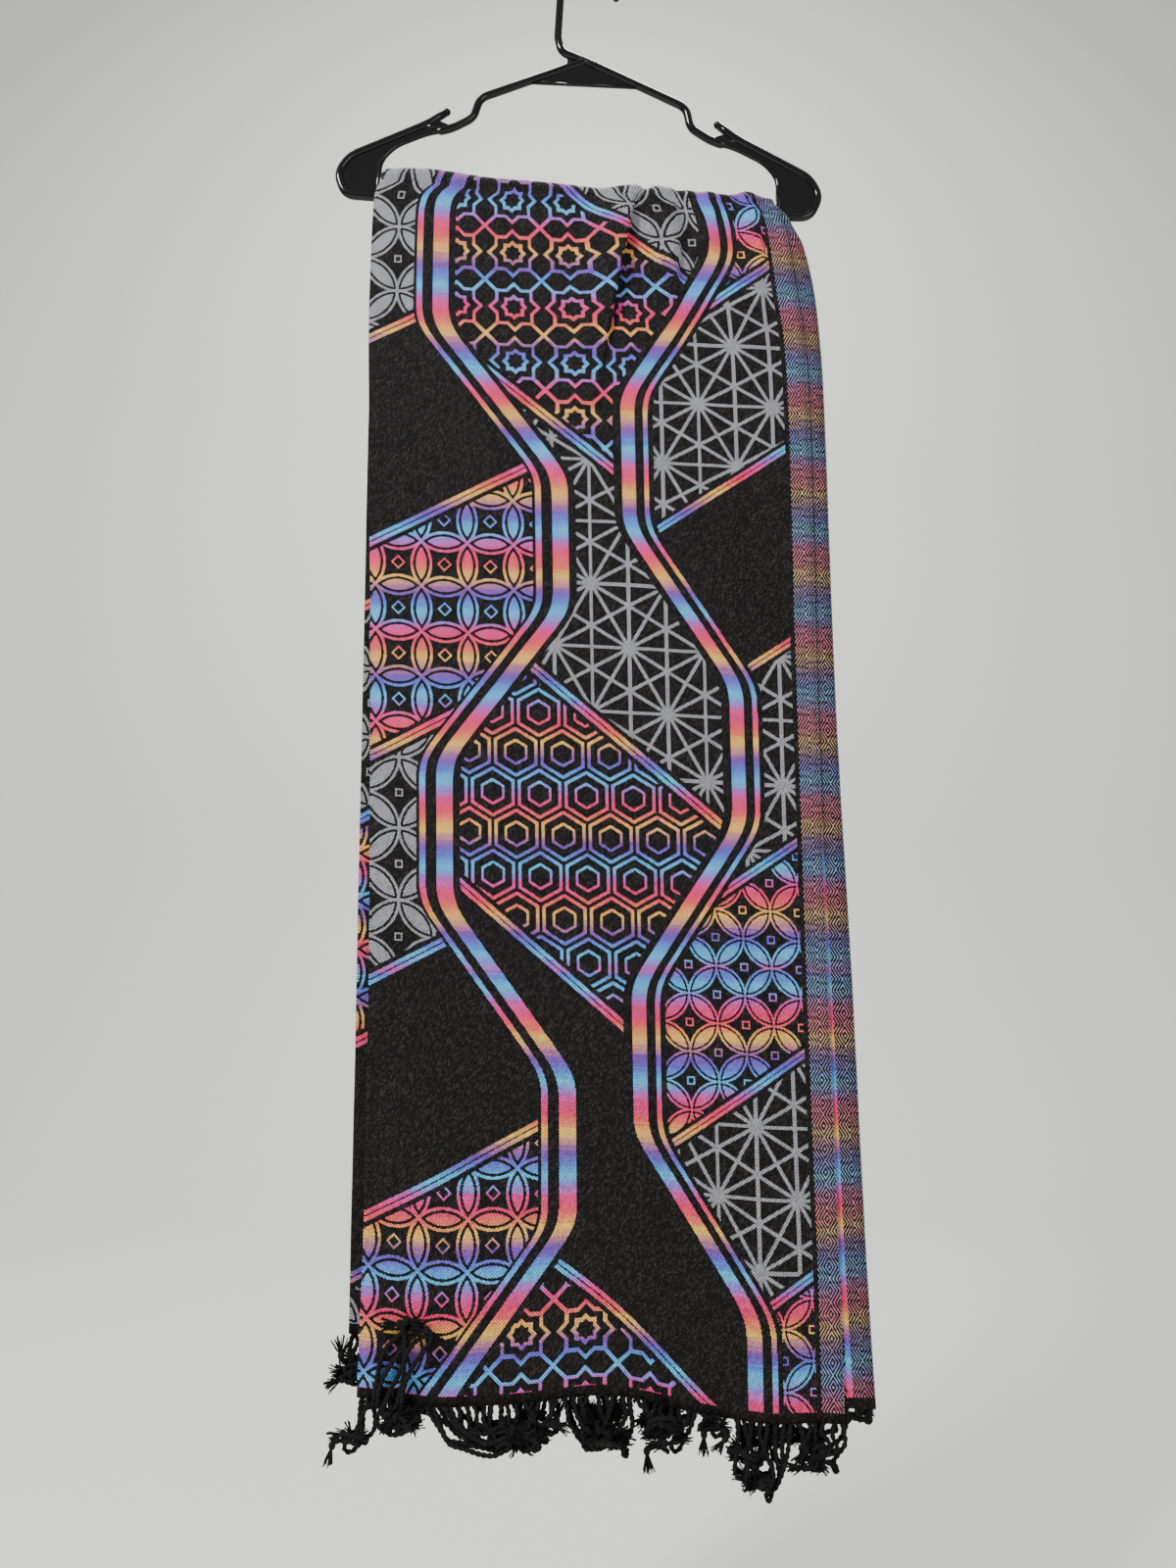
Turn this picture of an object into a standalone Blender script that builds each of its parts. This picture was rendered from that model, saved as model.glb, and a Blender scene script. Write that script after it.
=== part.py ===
"""A fringed shawl, folded in half along its length and draped over the bar of a moulded hanger.

Metres, +Z up, +X to the right as seen from the front, and the front of the drape faces -Y.
The origin is the inside of the hook's top, where a rail holds it.
"""

import math
from collections import namedtuple

import bmesh
import bpy
from mathutils import Matrix

# Driving dimensions of the cloth
WALL = 0.0012
SEAM = 0.0003
HEADER = 0.0070
FRONT_DROP = 0.9217
BACK_DROP = 0.8850
OVER_BAR_DROP = 0.0120

# Distance of each layer's middle from the bar's middle plane, at the bar and at the hem
OUTER_AT_BAR = 0.0068
OUTER_AT_HEM = 0.0095
INNER_AT_BAR = 0.0046
INNER_AT_HEM = 0.0070
INNER_RELIEF = 0.35

# Driving dimensions of the hanger
TILT = math.radians(3.0)
HOOK_RADIUS = 0.0240
HOOK_ROD = 0.00325
RIM_ROD = 0.0033
INNER_ROD = 0.0022
WEB = 0.0026
APEX_HEIGHT = -0.08875
BAR_TOP = -0.20875
BAR_HEIGHT = 0.0140

# Fringe: strands in each of the four edges, and the half widths of a strand along its length
STRANDS = 32
ROOT_HALF = 0.0013
STRAND_LEAST = 0.030
STRAND_MORE = 0.022
SWING = 0.0065
SPREAD = 0.0030
LANE = 0.0042

FRONT = -1
BACK = 1
GOLDEN = 0.6180339887

# x of the fold and of the two selvedges, by how far they hang below the bar
Edges = namedtuple("Edges", "drop fold outer inner")
CROWN = Edges(0.000, -0.1690, 0.1400, 0.1478)
FRONT_EDGES = (
    Edges(0.000, -0.1702, 0.1480, 0.1488),
    Edges(0.008, -0.1746, 0.1524, 0.1580),
    Edges(0.020, -0.1760, 0.1565, 0.1645),
    Edges(0.034, -0.1766, 0.1592, 0.1715),
    Edges(0.075, -0.1774, 0.1645, 0.1795),
    Edges(0.120, -0.1776, 0.1700, 0.1833),
    Edges(0.180, -0.1760, 0.1722, 0.1850),
    Edges(0.400, -0.1695, 0.1730, 0.1872),
    Edges(0.620, -0.1650, 0.1750, 0.1935),
    Edges(0.820, -0.1640, 0.1778, 0.1980),
    Edges(0.932, -0.1660, 0.1786, 0.2018),
)
BACK_EDGES = (
    Edges(0.000, -0.1702, 0.1480, 0.1488),
    Edges(0.010, -0.1750, 0.1530, 0.1575),
    Edges(0.034, -0.1768, 0.1580, 0.1680),
    Edges(0.120, -0.1780, 0.1650, 0.1760),
    Edges(0.400, -0.1775, 0.1668, 0.1795),
    Edges(0.700, -0.1765, 0.1680, 0.1830),
    Edges(0.892, -0.1760, 0.1690, 0.1850),
)

# Gathers: ridges that start on the bar and die out down the cloth. The first is the deep crease.
Ridge = namedtuple("Ridge", "x_bar x_low drop_low left right high_bar high")
FRONT_RIDGES = (
    Ridge(0.040, 0.008, 0.190, 0.036, 0.007, 0.0052, 0.0090),
    Ridge(0.062, 0.060, 0.110, 0.010, 0.008, 0.0014, 0.0030),
    Ridge(0.084, 0.092, 0.150, 0.013, 0.020, 0.0022, 0.0036),
    Ridge(0.126, 0.134, 0.100, 0.012, 0.010, 0.0018, 0.0026),
    Ridge(-0.168, -0.150, 0.090, 0.050, 0.090, 0.0050, 0.0026),
)
BACK_RIDGES = (
    Ridge(0.040, 0.052, 0.190, 0.034, 0.007, 0.0050, 0.0060),
    Ridge(0.062, 0.080, 0.130, 0.010, 0.008, 0.0014, 0.0026),
    Ridge(0.084, 0.112, 0.120, 0.013, 0.020, 0.0022, 0.0030),
    Ridge(0.126, 0.140, 0.140, 0.012, 0.010, 0.0018, 0.0032),
    Ridge(-0.168, -0.140, 0.120, 0.050, 0.090, 0.0050, 0.0030),
)

# Soft waves that grow towards the hem
Wave = namedtuple("Wave", "x width middle hem")
FRONT_WAVES = (
    Wave(-0.108, 0.050, 0.0008, 0.0028),
    Wave(0.014, 0.060, 0.0014, 0.0046),
    Wave(0.122, 0.044, 0.0010, 0.0030),
)
BACK_WAVES = (
    Wave(-0.060, 0.058, 0.0012, 0.0042),
    Wave(0.075, 0.062, 0.0010, 0.0036),
)
WAVE_START = 0.15
WAVE_MIDDLE = 0.50

# Where the mesh's columns and rows lie, closer together at the gathers
Zone = namedtuple("Zone", "start end steps")
CREST_SHARE = 0.678
FOOT_SHARE = 0.700
OUTER_ZONES = (
    Zone(0.00, 0.56, 6),
    Zone(0.56, CREST_SHARE, 3),
    Zone(CREST_SHARE, FOOT_SHARE, 1),
    Zone(FOOT_SHARE, 1.00, 12),
)
INNER_ZONES = (Zone(0.00, 0.60, 5), Zone(0.60, 1.00, 6))
FOLD_STEPS = 4
ARC_STEPS = 6
FRONT_ZONES = (Zone(0.000, 0.170, 9), Zone(0.170, 1.000, 9))
BACK_ZONES = (Zone(0.000, 0.170, 6), Zone(0.170, 1.000, 7))
CREST_REACH_LEFT = 0.60
CREST_REACH_RIGHT = 0.32

# Colours, as linear values
CLOTH_COLOUR = (0.030, 0.024, 0.030, 1.0)
FRINGE_COLOUR = (0.010, 0.010, 0.011, 1.0)
HANGER_COLOUR = (0.006, 0.006, 0.007, 1.0)


def clear_scene():
    for old in list(bpy.data.objects):
        bpy.data.objects.remove(old, do_unlink=True)


def new_collection(name):
    made = bpy.data.collections.new(name)
    bpy.context.scene.collection.children.link(made)
    return made


def plain_material(name, colour, roughness):
    made = bpy.data.materials.new(name)
    made.use_nodes = True
    shader = made.node_tree.nodes["Principled BSDF"]
    shader.inputs["Base Color"].default_value = colour
    shader.inputs["Roughness"].default_value = roughness
    shader.inputs["Metallic"].default_value = 0.0
    return made


def blend(low, high, share):
    return low + (high - low) * share


def ease(share):
    """0 to 1, starting and ending softly."""
    share = min(max(share, 0.0), 1.0)
    return share * share * (3.0 - 2.0 * share)


def spaced(zones):
    """Values through the zones, each start given once."""
    values = [zones[0].start]
    for zone in zones:
        for step in range(1, zone.steps + 1):
            values.append(blend(zone.start, zone.end, step / zone.steps))
    return values


def table_value(rows, column, drop):
    """One column of an edge table, on a smooth curve through its rows."""
    drop = min(max(drop, rows[0].drop), rows[-1].drop)
    last = len(rows) - 1
    at = min(next(i for i in range(last) if drop <= rows[i + 1].drop), last - 1)

    def slope(row):
        before = rows[max(row - 1, 0)]
        after = rows[min(row + 1, last)]
        return (getattr(after, column) - getattr(before, column)) / (after.drop - before.drop)

    low, high = rows[at], rows[at + 1]
    width = high.drop - low.drop
    share = (drop - low.drop) / width
    rise = ease(share)
    start_pull = share * (1.0 - share) ** 2 * width * slope(at)
    end_pull = share**2 * (share - 1.0) * width * slope(at + 1)
    return blend(getattr(low, column), getattr(high, column), rise) + start_pull + end_pull


# A station is a place along the drape: the angle round the bar, then the drop below it
Station = namedtuple("Station", "angle drop")


def side_of(station):
    return FRONT if station.angle < 0.0 else BACK


def edge_x(column, station):
    rows = FRONT_EDGES if side_of(station) == FRONT else BACK_EDGES
    if station.drop > 0.0:
        return table_value(rows, column, station.drop)
    return blend(getattr(CROWN, column), getattr(rows[0], column), abs(math.sin(station.angle)))


def bar_top(x):
    """Height of the tilted bar's top."""
    return BAR_TOP / math.cos(TILT) - x * math.tan(TILT)


def ridge_x(ridge, drop):
    return blend(ridge.x_bar, ridge.x_low, min(drop / ridge.drop_low, 1.0) ** 0.8)


def ridge_height(ridge, x, drop):
    """How far one gather stands out: a slow rise on its left and a short fall on its right."""
    away = x - ridge_x(ridge, drop)
    width = ridge.left if away < 0.0 else ridge.right
    if abs(away) >= width or drop >= ridge.drop_low:
        return 0.0
    along = drop / ridge.drop_low
    high = blend(ridge.high_bar, ridge.high, ease(along * 5.0)) * (1.0 - ease((along - 0.3) / 0.7))
    return high * math.cos(0.5 * math.pi * away / width) ** 2


def wave_height(waves, x, drop):
    early = ease((drop - WAVE_START) / (WAVE_MIDDLE - WAVE_START))
    late = ease((drop - WAVE_MIDDLE) / (FRONT_DROP - WAVE_MIDDLE))
    total = 0.0
    for wave in waves:
        bell = math.exp(-(((x - wave.x) / wave.width) ** 2))
        total += bell * (wave.middle * early + (wave.hem - wave.middle) * late)
    return total


def outward(layer, x, station):
    """Distance of a layer's middle from the bar's middle plane."""
    to_back = 0.5 + 0.5 * math.sin(station.angle)
    relief = sum(ridge_height(ridge, x, station.drop) for ridge in FRONT_RIDGES) * (1.0 - to_back)
    relief += sum(ridge_height(ridge, x, station.drop) for ridge in BACK_RIDGES) * to_back
    waves = FRONT_WAVES if side_of(station) == FRONT else BACK_WAVES
    sway = wave_height(waves, x, station.drop)
    down = station.drop / FRONT_DROP
    if layer == "outer":
        return blend(OUTER_AT_BAR, OUTER_AT_HEM, down) + relief + sway
    return blend(INNER_AT_BAR, INNER_AT_HEM, down) + relief * INNER_RELIEF + sway


def placed(x, distance, station):
    """The point at this x and distance from the bar's middle."""
    centre = bar_top(x) - RIM_ROD
    y = distance * math.sin(station.angle)
    z = centre + distance * math.cos(station.angle) - station.drop
    return (x, y, z)


def fold_radius(station):
    x = edge_x("fold", station)
    return 0.5 * (outward("outer", x, station) - outward("inner", x, station))


def column_x(layer, share, station):
    """x of a column. The outer layer's columns lean with the deep crease, so that one runs on its crest."""
    start = edge_x("fold", station) + fold_radius(station)
    end = edge_x(layer, station)
    x = blend(start, end, share)
    if layer == "inner":
        return x
    ridge = (FRONT_RIDGES if side_of(station) == FRONT else BACK_RIDGES)[0]
    crest = ridge_x(ridge, station.drop) - blend(start, end, CREST_SHARE)
    away = share - CREST_SHARE
    reach = CREST_REACH_LEFT if away < 0.0 else CREST_REACH_RIGHT
    if abs(away) >= reach:
        return x
    fade = 1.0 - ease((station.drop - ridge.drop_low) / 0.2)
    return x + crest * fade * math.cos(0.5 * math.pi * away / reach) ** 2


def section(station):
    """One row of the folded sheet: outer layer to the fold, round it, and back along the inner layer."""
    row = []
    for share in reversed(spaced(OUTER_ZONES)):
        x = column_x("outer", share, station)
        row.append(placed(x, outward("outer", x, station), station))
    radius = fold_radius(station)
    edge = edge_x("fold", station)
    middle = outward("inner", edge, station) + radius
    for step in range(1, FOLD_STEPS):
        turn = math.pi * step / FOLD_STEPS
        x = edge + radius - radius * math.sin(turn)
        row.append(placed(x, middle + radius * math.cos(turn), station))
    for share in spaced(INNER_ZONES):
        x = column_x("inner", share, station)
        row.append(placed(x, outward("inner", x, station), station))
    return row


def stations_down(side, drop, zones):
    angle = side * 0.5 * math.pi
    start = OVER_BAR_DROP + SEAM
    return [Station(angle, blend(start, drop, share)) for share in spaced(zones)]


def stations_over_bar():
    front = Station(-0.5 * math.pi, OVER_BAR_DROP)
    back = Station(0.5 * math.pi, OVER_BAR_DROP)
    between = []
    for step in range(ARC_STEPS + 1):
        between.append(Station(blend(-0.5 * math.pi, 0.5 * math.pi, step / ARC_STEPS), 0.0))
    return [front] + between + [back]


def mesh_object(name, bm, material, collection):
    mesh = bpy.data.meshes.new(name)
    bm.to_mesh(mesh)
    bm.free()
    made = bpy.data.objects.new(name, mesh)
    mesh.materials.append(material)
    collection.objects.link(made)
    return made


def cloth_stretch(name, stations, material, collection):
    """A stretch of the folded cloth: an open sheet lofted through its sections, given its wall."""
    bm = bmesh.new()
    rows = [[bm.verts.new(point) for point in section(station)] for station in stations]
    for upper, lower in zip(rows, rows[1:]):
        for i in range(len(upper) - 1):
            bm.faces.new((upper[i], upper[i + 1], lower[i + 1], lower[i]))
    bmesh.ops.recalc_face_normals(bm, faces=bm.faces)
    made = mesh_object(name, bm, material, collection)
    made.data.shade_smooth()
    wall = made.modifiers.new("Wall", "SOLIDIFY")
    wall.thickness = WALL
    wall.offset = 0.0
    return made


def strand_rings(side, layer, index, root):
    """Centres and half widths of a strand's rings, from its root to the tuft below its knot."""
    jitter = (index * GOLDEN + (0.3 if layer == "outer" else 0.8)) % 1.0
    length = STRAND_LEAST + STRAND_MORE * jitter
    lanes = index % 3 if layer == "outer" else index % 2
    away = side if layer == "outer" else -side
    depth = SPREAD + lanes * (LANE if layer == "outer" else 0.5 * LANE)
    phase = root[0] / 0.19 + (0.0 if side == FRONT else 0.4)
    rings = []
    for share, half in ((0.34, 0.0016), (0.68, 0.0016), (0.82, 0.0024), (1.00, 0.0030)):
        swing = SWING * math.sin(2.0 * math.pi * (phase + 0.9 * share)) * share**0.7
        x = root[0] + swing + 0.002 * (jitter - 0.5) * share
        y = root[1] + away * depth * share
        rings.append(((x, y, root[2] - length * share), half))
    return rings


def grow_strand(bm, face, rings):
    """Extrudes a root face of the header ring by ring."""
    for centre, half in rings:
        middle = face.calc_center_median()
        signs = [(v.co.x > middle.x, v.co.y > middle.y) for v in face.verts]
        face = bmesh.ops.extrude_discrete_faces(bm, faces=[face])["faces"][0]
        for vert, (right, far) in zip(face.verts, signs):
            vert.co.x = centre[0] + (half if right else -half)
            vert.co.y = centre[1] + (half if far else -half)
            vert.co.z = centre[2]


def fringe(name, side, layer, drop, material, collection):
    """A header strip just past the hem, with a row of strands fused to its lower edge."""
    angle = side * 0.5 * math.pi
    top = Station(angle, drop + SEAM)
    bottom = Station(angle, drop + SEAM + HEADER)
    start = edge_x("fold", bottom) + fold_radius(bottom)
    end = edge_x(layer, bottom)
    pitch = (end - start) / STRANDS
    centres = [start + pitch * (i + 0.5) for i in range(STRANDS)]
    columns = [start]
    for x in centres:
        columns += [x - ROOT_HALF, x + ROOT_HALF]
    columns.append(end)

    bm = bmesh.new()
    corners = []
    for x in columns:
        four = []
        for station in (top, bottom):
            for half in (-0.5 * WALL, 0.5 * WALL):
                point = placed(x, outward(layer, x, station) + half, station)
                four.append(bm.verts.new(point))
        corners.append(four)
    roots = []
    for i in range(len(columns) - 1):
        a, b = corners[i], corners[i + 1]
        bm.faces.new((a[0], b[0], b[1], a[1]))
        bm.faces.new((a[0], a[2], b[2], b[0]))
        bm.faces.new((a[1], b[1], b[3], a[3]))
        lower = bm.faces.new((a[2], a[3], b[3], b[2]))
        if i % 2 == 1:
            roots.append(lower)
    for end_corners in (corners[0], corners[-1]):
        bm.faces.new((end_corners[0], end_corners[1], end_corners[3], end_corners[2]))
    for index, face in enumerate(roots):
        root = face.calc_center_median()
        grow_strand(bm, face, strand_rings(side, layer, index, root))
    bmesh.ops.recalc_face_normals(bm, faces=bm.faces)
    return mesh_object(name, bm, material, collection)


# A corner of a rod's route, in the hanger's own frame below the apex
Corner = namedtuple("Corner", "x z round rod")
OPENING_RIM = (
    Corner(0.0000, 0.0000, 0.000, RIM_ROD),
    Corner(0.0852, -0.0378, 0.010, RIM_ROD),
    Corner(0.0895, -0.0556, 0.008, RIM_ROD),
    Corner(0.1080, -0.0672, 0.020, RIM_ROD),
    Corner(0.1260, -0.0712, 0.020, INNER_ROD),
    Corner(0.1520, -0.0838, 0.016, INNER_ROD),
    Corner(0.1636, -0.0980, 0.016, INNER_ROD),
    Corner(0.1637, BAR_TOP - APEX_HEIGHT - RIM_ROD, 0.000, RIM_ROD),
)
OUTER_RIM = (
    Corner(0.1118, -0.0517, 0.000, RIM_ROD),
    Corner(0.1264, -0.0630, 0.012, RIM_ROD),
    Corner(0.1885, -0.0950, 0.016, RIM_ROD),
    Corner(0.1978, -0.1110, 0.012, RIM_ROD),
    Corner(0.1900, -0.1300, 0.012, RIM_ROD),
    Corner(0.1650, BAR_TOP - BAR_HEIGHT - APEX_HEIGHT + RIM_ROD, 0.000, RIM_ROD),
)
HOOK_CENTRE = 0.0680
HOOK_END = math.radians(-20.0)
HOOK_STEPS = 18
HOOK_FOOT = (
    Corner(-HOOK_RADIUS, 0.0200, 0.000, HOOK_ROD),
    Corner(-0.0205, 0.0075, 0.012, HOOK_ROD),
    Corner(0.0090, -0.0040, 0.000, HOOK_ROD),
)
APEX_WEB = ((0.0, -0.001), (0.046, -0.0205), (0.038, -0.0225), (-0.038, -0.0225), (-0.046, -0.0205))
HOOK_WEB = ((-0.0150, 0.0060), (0.0020, -0.0010), (-0.0150, -0.0068))
APEX_RIM = ((-0.044, -0.0212), (0.044, -0.0212))


def rounded(corners, steps=3):
    """Points of a route whose corners are turned on arcs. Each is x, z and the rod's radius."""
    points = []
    for i, here in enumerate(corners):
        if here.round == 0.0 or i in (0, len(corners) - 1):
            points.append((here.x, here.z, here.rod))
            continue
        before, after = corners[i - 1], corners[i + 1]
        into = math.hypot(here.x - before.x, here.z - before.z)
        out = math.hypot(after.x - here.x, after.z - here.z)
        cut = min(here.round * 0.7, 0.45 * into, 0.45 * out)
        first = (blend(here.x, before.x, cut / into), blend(here.z, before.z, cut / into))
        last = (blend(here.x, after.x, cut / out), blend(here.z, after.z, cut / out))
        for step in range(steps + 1):
            t = step / steps
            x = blend(blend(first[0], here.x, t), blend(here.x, last[0], t), t)
            z = blend(blend(first[1], here.z, t), blend(here.z, last[1], t), t)
            points.append((x, z, here.rod))
    return points


def hanger_matrix():
    """Places the hanger's own frame: below the hook's top, then tilted about it."""
    return Matrix.Rotation(TILT, 4, "Y") @ Matrix.Translation((0.0, 0.0, APEX_HEIGHT))


def rod(name, points, cyclic, collection):
    """A round rod on a poly spline, as a closed mesh in the hanger's frame."""
    curve = bpy.data.curves.new(name, "CURVE")
    curve.dimensions = "3D"
    curve.bevel_depth = RIM_ROD
    curve.bevel_resolution = 2
    curve.use_fill_caps = not cyclic
    spline = curve.splines.new("POLY")
    spline.points.add(len(points) - 1)
    for point, (x, z, radius) in zip(spline.points, points):
        point.co = (x, 0.0, z, 1.0)
        point.radius = radius / RIM_ROD
    spline.use_cyclic_u = cyclic
    drawn = bpy.data.objects.new(name + "_curve", curve)
    collection.objects.link(drawn)
    bpy.context.view_layer.update()
    graph = bpy.context.evaluated_depsgraph_get()
    mesh = bpy.data.meshes.new_from_object(drawn.evaluated_get(graph))
    bpy.data.objects.remove(drawn)
    bm = bmesh.new()
    bm.from_mesh(mesh)
    bmesh.ops.remove_doubles(bm, verts=bm.verts, dist=0.00001)
    bmesh.ops.recalc_face_normals(bm, faces=bm.faces)
    bm.to_mesh(mesh)
    bm.free()
    made = bpy.data.objects.new(name, mesh)
    collection.objects.link(made)
    return made


def plate(name, outline, thickness, collection):
    """A flat web: the outline extruded both ways from the hanger's middle plane."""
    bm = bmesh.new()
    face = bm.faces.new([bm.verts.new((x, -0.5 * thickness, z)) for x, z in outline])
    moved = bmesh.ops.extrude_face_region(bm, geom=[face])["geom"]
    verts = [item for item in moved if isinstance(item, bmesh.types.BMVert)]
    bmesh.ops.translate(bm, vec=(0.0, thickness, 0.0), verts=verts)
    bmesh.ops.recalc_face_normals(bm, faces=bm.faces)
    mesh = bpy.data.meshes.new(name)
    bm.to_mesh(mesh)
    bm.free()
    made = bpy.data.objects.new(name, mesh)
    collection.objects.link(made)
    return made


def mirrored(points):
    """A right half's points, then the left half's in reverse, with none given twice on the middle."""
    left = [(-x,) + tuple(rest) for x, *rest in reversed(points)]
    return points + [point for point in left if point[0] != 0.0]


def hook_points():
    points = [(x, z, radius) for x, z, radius in reversed(rounded(HOOK_FOOT, 5))]
    for step in range(HOOK_STEPS + 1):
        turn = blend(math.pi, HOOK_END, step / HOOK_STEPS)
        x = HOOK_RADIUS * math.cos(turn)
        z = HOOK_CENTRE + HOOK_RADIUS * math.sin(turn)
        points.append((x, z, HOOK_ROD))
    return points


def web_outline():
    """The right arm's web, which fills the paddle, the lower arm and the notch's root between the rims."""
    inner = [(x, z) for x, z, _ in rounded(OPENING_RIM) if x > 0.104]
    outer = [(x, z) for x, z, _ in rounded(OUTER_RIM) if x > 0.120]
    return inner + list(reversed(outer))


def hanger(material, collection, guides):
    """One moulded piece: round rims joined by thin webs, and the hook."""
    base = rod("hanger", mirrored(rounded(OPENING_RIM)), True, collection)
    base.data.materials.append(material)
    right_web = web_outline()
    left_web = [(-x, z) for x, z in right_web]
    bar_low = BAR_TOP - BAR_HEIGHT - APEX_HEIGHT + RIM_ROD
    bar_high = BAR_TOP - APEX_HEIGHT - RIM_ROD
    bar_web = ((-0.164, bar_high), (0.164, bar_high), (0.164, bar_low), (-0.164, bar_low))
    rim = mirrored(rounded(OUTER_RIM))
    pieces = [
        rod("outer_rim", rim, False, guides),
        plate("right_web", right_web, WEB, guides),
        plate("left_web", left_web, WEB, guides),
        plate("bar_web", bar_web, WEB * 1.2, guides),
        plate("apex_web", APEX_WEB, WEB * 0.9, guides),
        rod("apex_rim", [(x, z, 0.0017) for x, z in APEX_RIM], False, guides),
        plate("hook_web", HOOK_WEB, WEB * 0.8, guides),
        rod("hook", hook_points(), False, guides),
    ]
    for piece in pieces:
        piece.hide_render = True
        piece.display_type = "WIRE"
        union = base.modifiers.new(piece.name, "BOOLEAN")
        union.operation = "UNION"
        union.solver = "EXACT"
        union.object = piece
    for piece in [base] + pieces:
        piece.matrix_world = hanger_matrix()
    base.data.shade_smooth()
    return base


def main():
    clear_scene()
    parts = new_collection("Shawl on hanger")
    guides = new_collection("Hanger pieces to join")
    cloth = plain_material("shawl cloth", CLOTH_COLOUR, 0.75)
    yarn = plain_material("fringe yarn", FRINGE_COLOUR, 0.85)
    plastic = plain_material("hanger plastic", HANGER_COLOUR, 0.15)

    hanger(plastic, parts, guides)
    cloth_stretch("shawl_front", stations_down(FRONT, FRONT_DROP, FRONT_ZONES), cloth, parts)
    cloth_stretch("shawl_over_bar", stations_over_bar(), cloth, parts)
    cloth_stretch("shawl_back", stations_down(BACK, BACK_DROP, BACK_ZONES), cloth, parts)
    for side, word, drop in ((FRONT, "front", FRONT_DROP), (BACK, "back", BACK_DROP)):
        for layer in ("outer", "inner"):
            fringe(f"fringe_{word}_{layer}", side, layer, drop, yarn, parts)


main()
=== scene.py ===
"""Looks of a fringed jacquard shawl draped over a moulded hanger: cloth, fringe, hanger and stage."""

import math
import random
from collections import namedtuple

import bmesh
import bpy
from bpy.props import FloatProperty, FloatVectorProperty, IntProperty, PointerProperty
from mathutils import Matrix, Vector


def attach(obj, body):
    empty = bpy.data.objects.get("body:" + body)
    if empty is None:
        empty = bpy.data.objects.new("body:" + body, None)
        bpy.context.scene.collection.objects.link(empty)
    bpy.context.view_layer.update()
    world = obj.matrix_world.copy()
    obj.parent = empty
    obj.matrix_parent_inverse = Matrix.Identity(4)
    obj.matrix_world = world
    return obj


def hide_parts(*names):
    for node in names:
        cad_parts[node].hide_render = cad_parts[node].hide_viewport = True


bl_info = {
    "name": "Shawl on Hanger",
    "version": (1, 0, 0),
    "blender": (4, 5, 0),
    "location": "View3D > Sidebar > Shawl",
    "description": "Builds a fringed jacquard shawl draped over a moulded hanger",
    "category": "Object",
}

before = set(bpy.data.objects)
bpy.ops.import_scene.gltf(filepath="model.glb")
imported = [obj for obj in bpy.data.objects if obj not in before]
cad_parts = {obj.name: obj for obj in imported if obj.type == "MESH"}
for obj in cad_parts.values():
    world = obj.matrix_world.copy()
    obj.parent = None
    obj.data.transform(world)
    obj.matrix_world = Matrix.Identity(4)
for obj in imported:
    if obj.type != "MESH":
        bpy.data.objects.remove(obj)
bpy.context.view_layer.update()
BODY = "root"

# Sizes of the drape, as in the frame's source
HEADER = 0.0073
FRONT_HEM = 0.9290
BACK_HEM = 0.8923
OUTER_WIDTH = 0.345
INNER_WIDTH = 0.365
CLOTH_WIDTH = OUTER_WIDTH + INNER_WIDTH
OUTER_AT_BAR = 0.0068
OUTER_AT_HEM = 0.0095
INNER_AT_BAR = 0.0046
INNER_AT_HEM = 0.0070
INNER_RELIEF = 0.35
TILT = math.radians(3.0)
RIM_ROD = 0.0033
BAR_TOP = -0.20875
ARC_LENGTH = math.pi * OUTER_AT_BAR
CLOTH_LENGTH = FRONT_HEM + ARC_LENGTH + BACK_HEM

FRONT = -1
BACK = 1
FRONT_ANGLE = -0.5 * math.pi
BACK_ANGLE = 0.5 * math.pi

Edges = namedtuple("Edges", "drop fold outer inner")
CROWN = Edges(0.000, -0.1690, 0.1400, 0.1478)
FRONT_EDGES = (
    Edges(0.000, -0.1702, 0.1480, 0.1488),
    Edges(0.008, -0.1746, 0.1524, 0.1580),
    Edges(0.020, -0.1760, 0.1565, 0.1645),
    Edges(0.034, -0.1766, 0.1592, 0.1715),
    Edges(0.075, -0.1774, 0.1645, 0.1795),
    Edges(0.120, -0.1776, 0.1700, 0.1833),
    Edges(0.180, -0.1760, 0.1722, 0.1850),
    Edges(0.400, -0.1695, 0.1730, 0.1872),
    Edges(0.620, -0.1650, 0.1750, 0.1935),
    Edges(0.820, -0.1640, 0.1778, 0.1980),
    Edges(0.932, -0.1660, 0.1786, 0.2018),
)
BACK_EDGES = (
    Edges(0.000, -0.1702, 0.1480, 0.1488),
    Edges(0.010, -0.1750, 0.1530, 0.1575),
    Edges(0.034, -0.1768, 0.1580, 0.1680),
    Edges(0.120, -0.1780, 0.1650, 0.1760),
    Edges(0.400, -0.1775, 0.1668, 0.1795),
    Edges(0.700, -0.1765, 0.1680, 0.1830),
    Edges(0.892, -0.1760, 0.1690, 0.1850),
)

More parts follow.
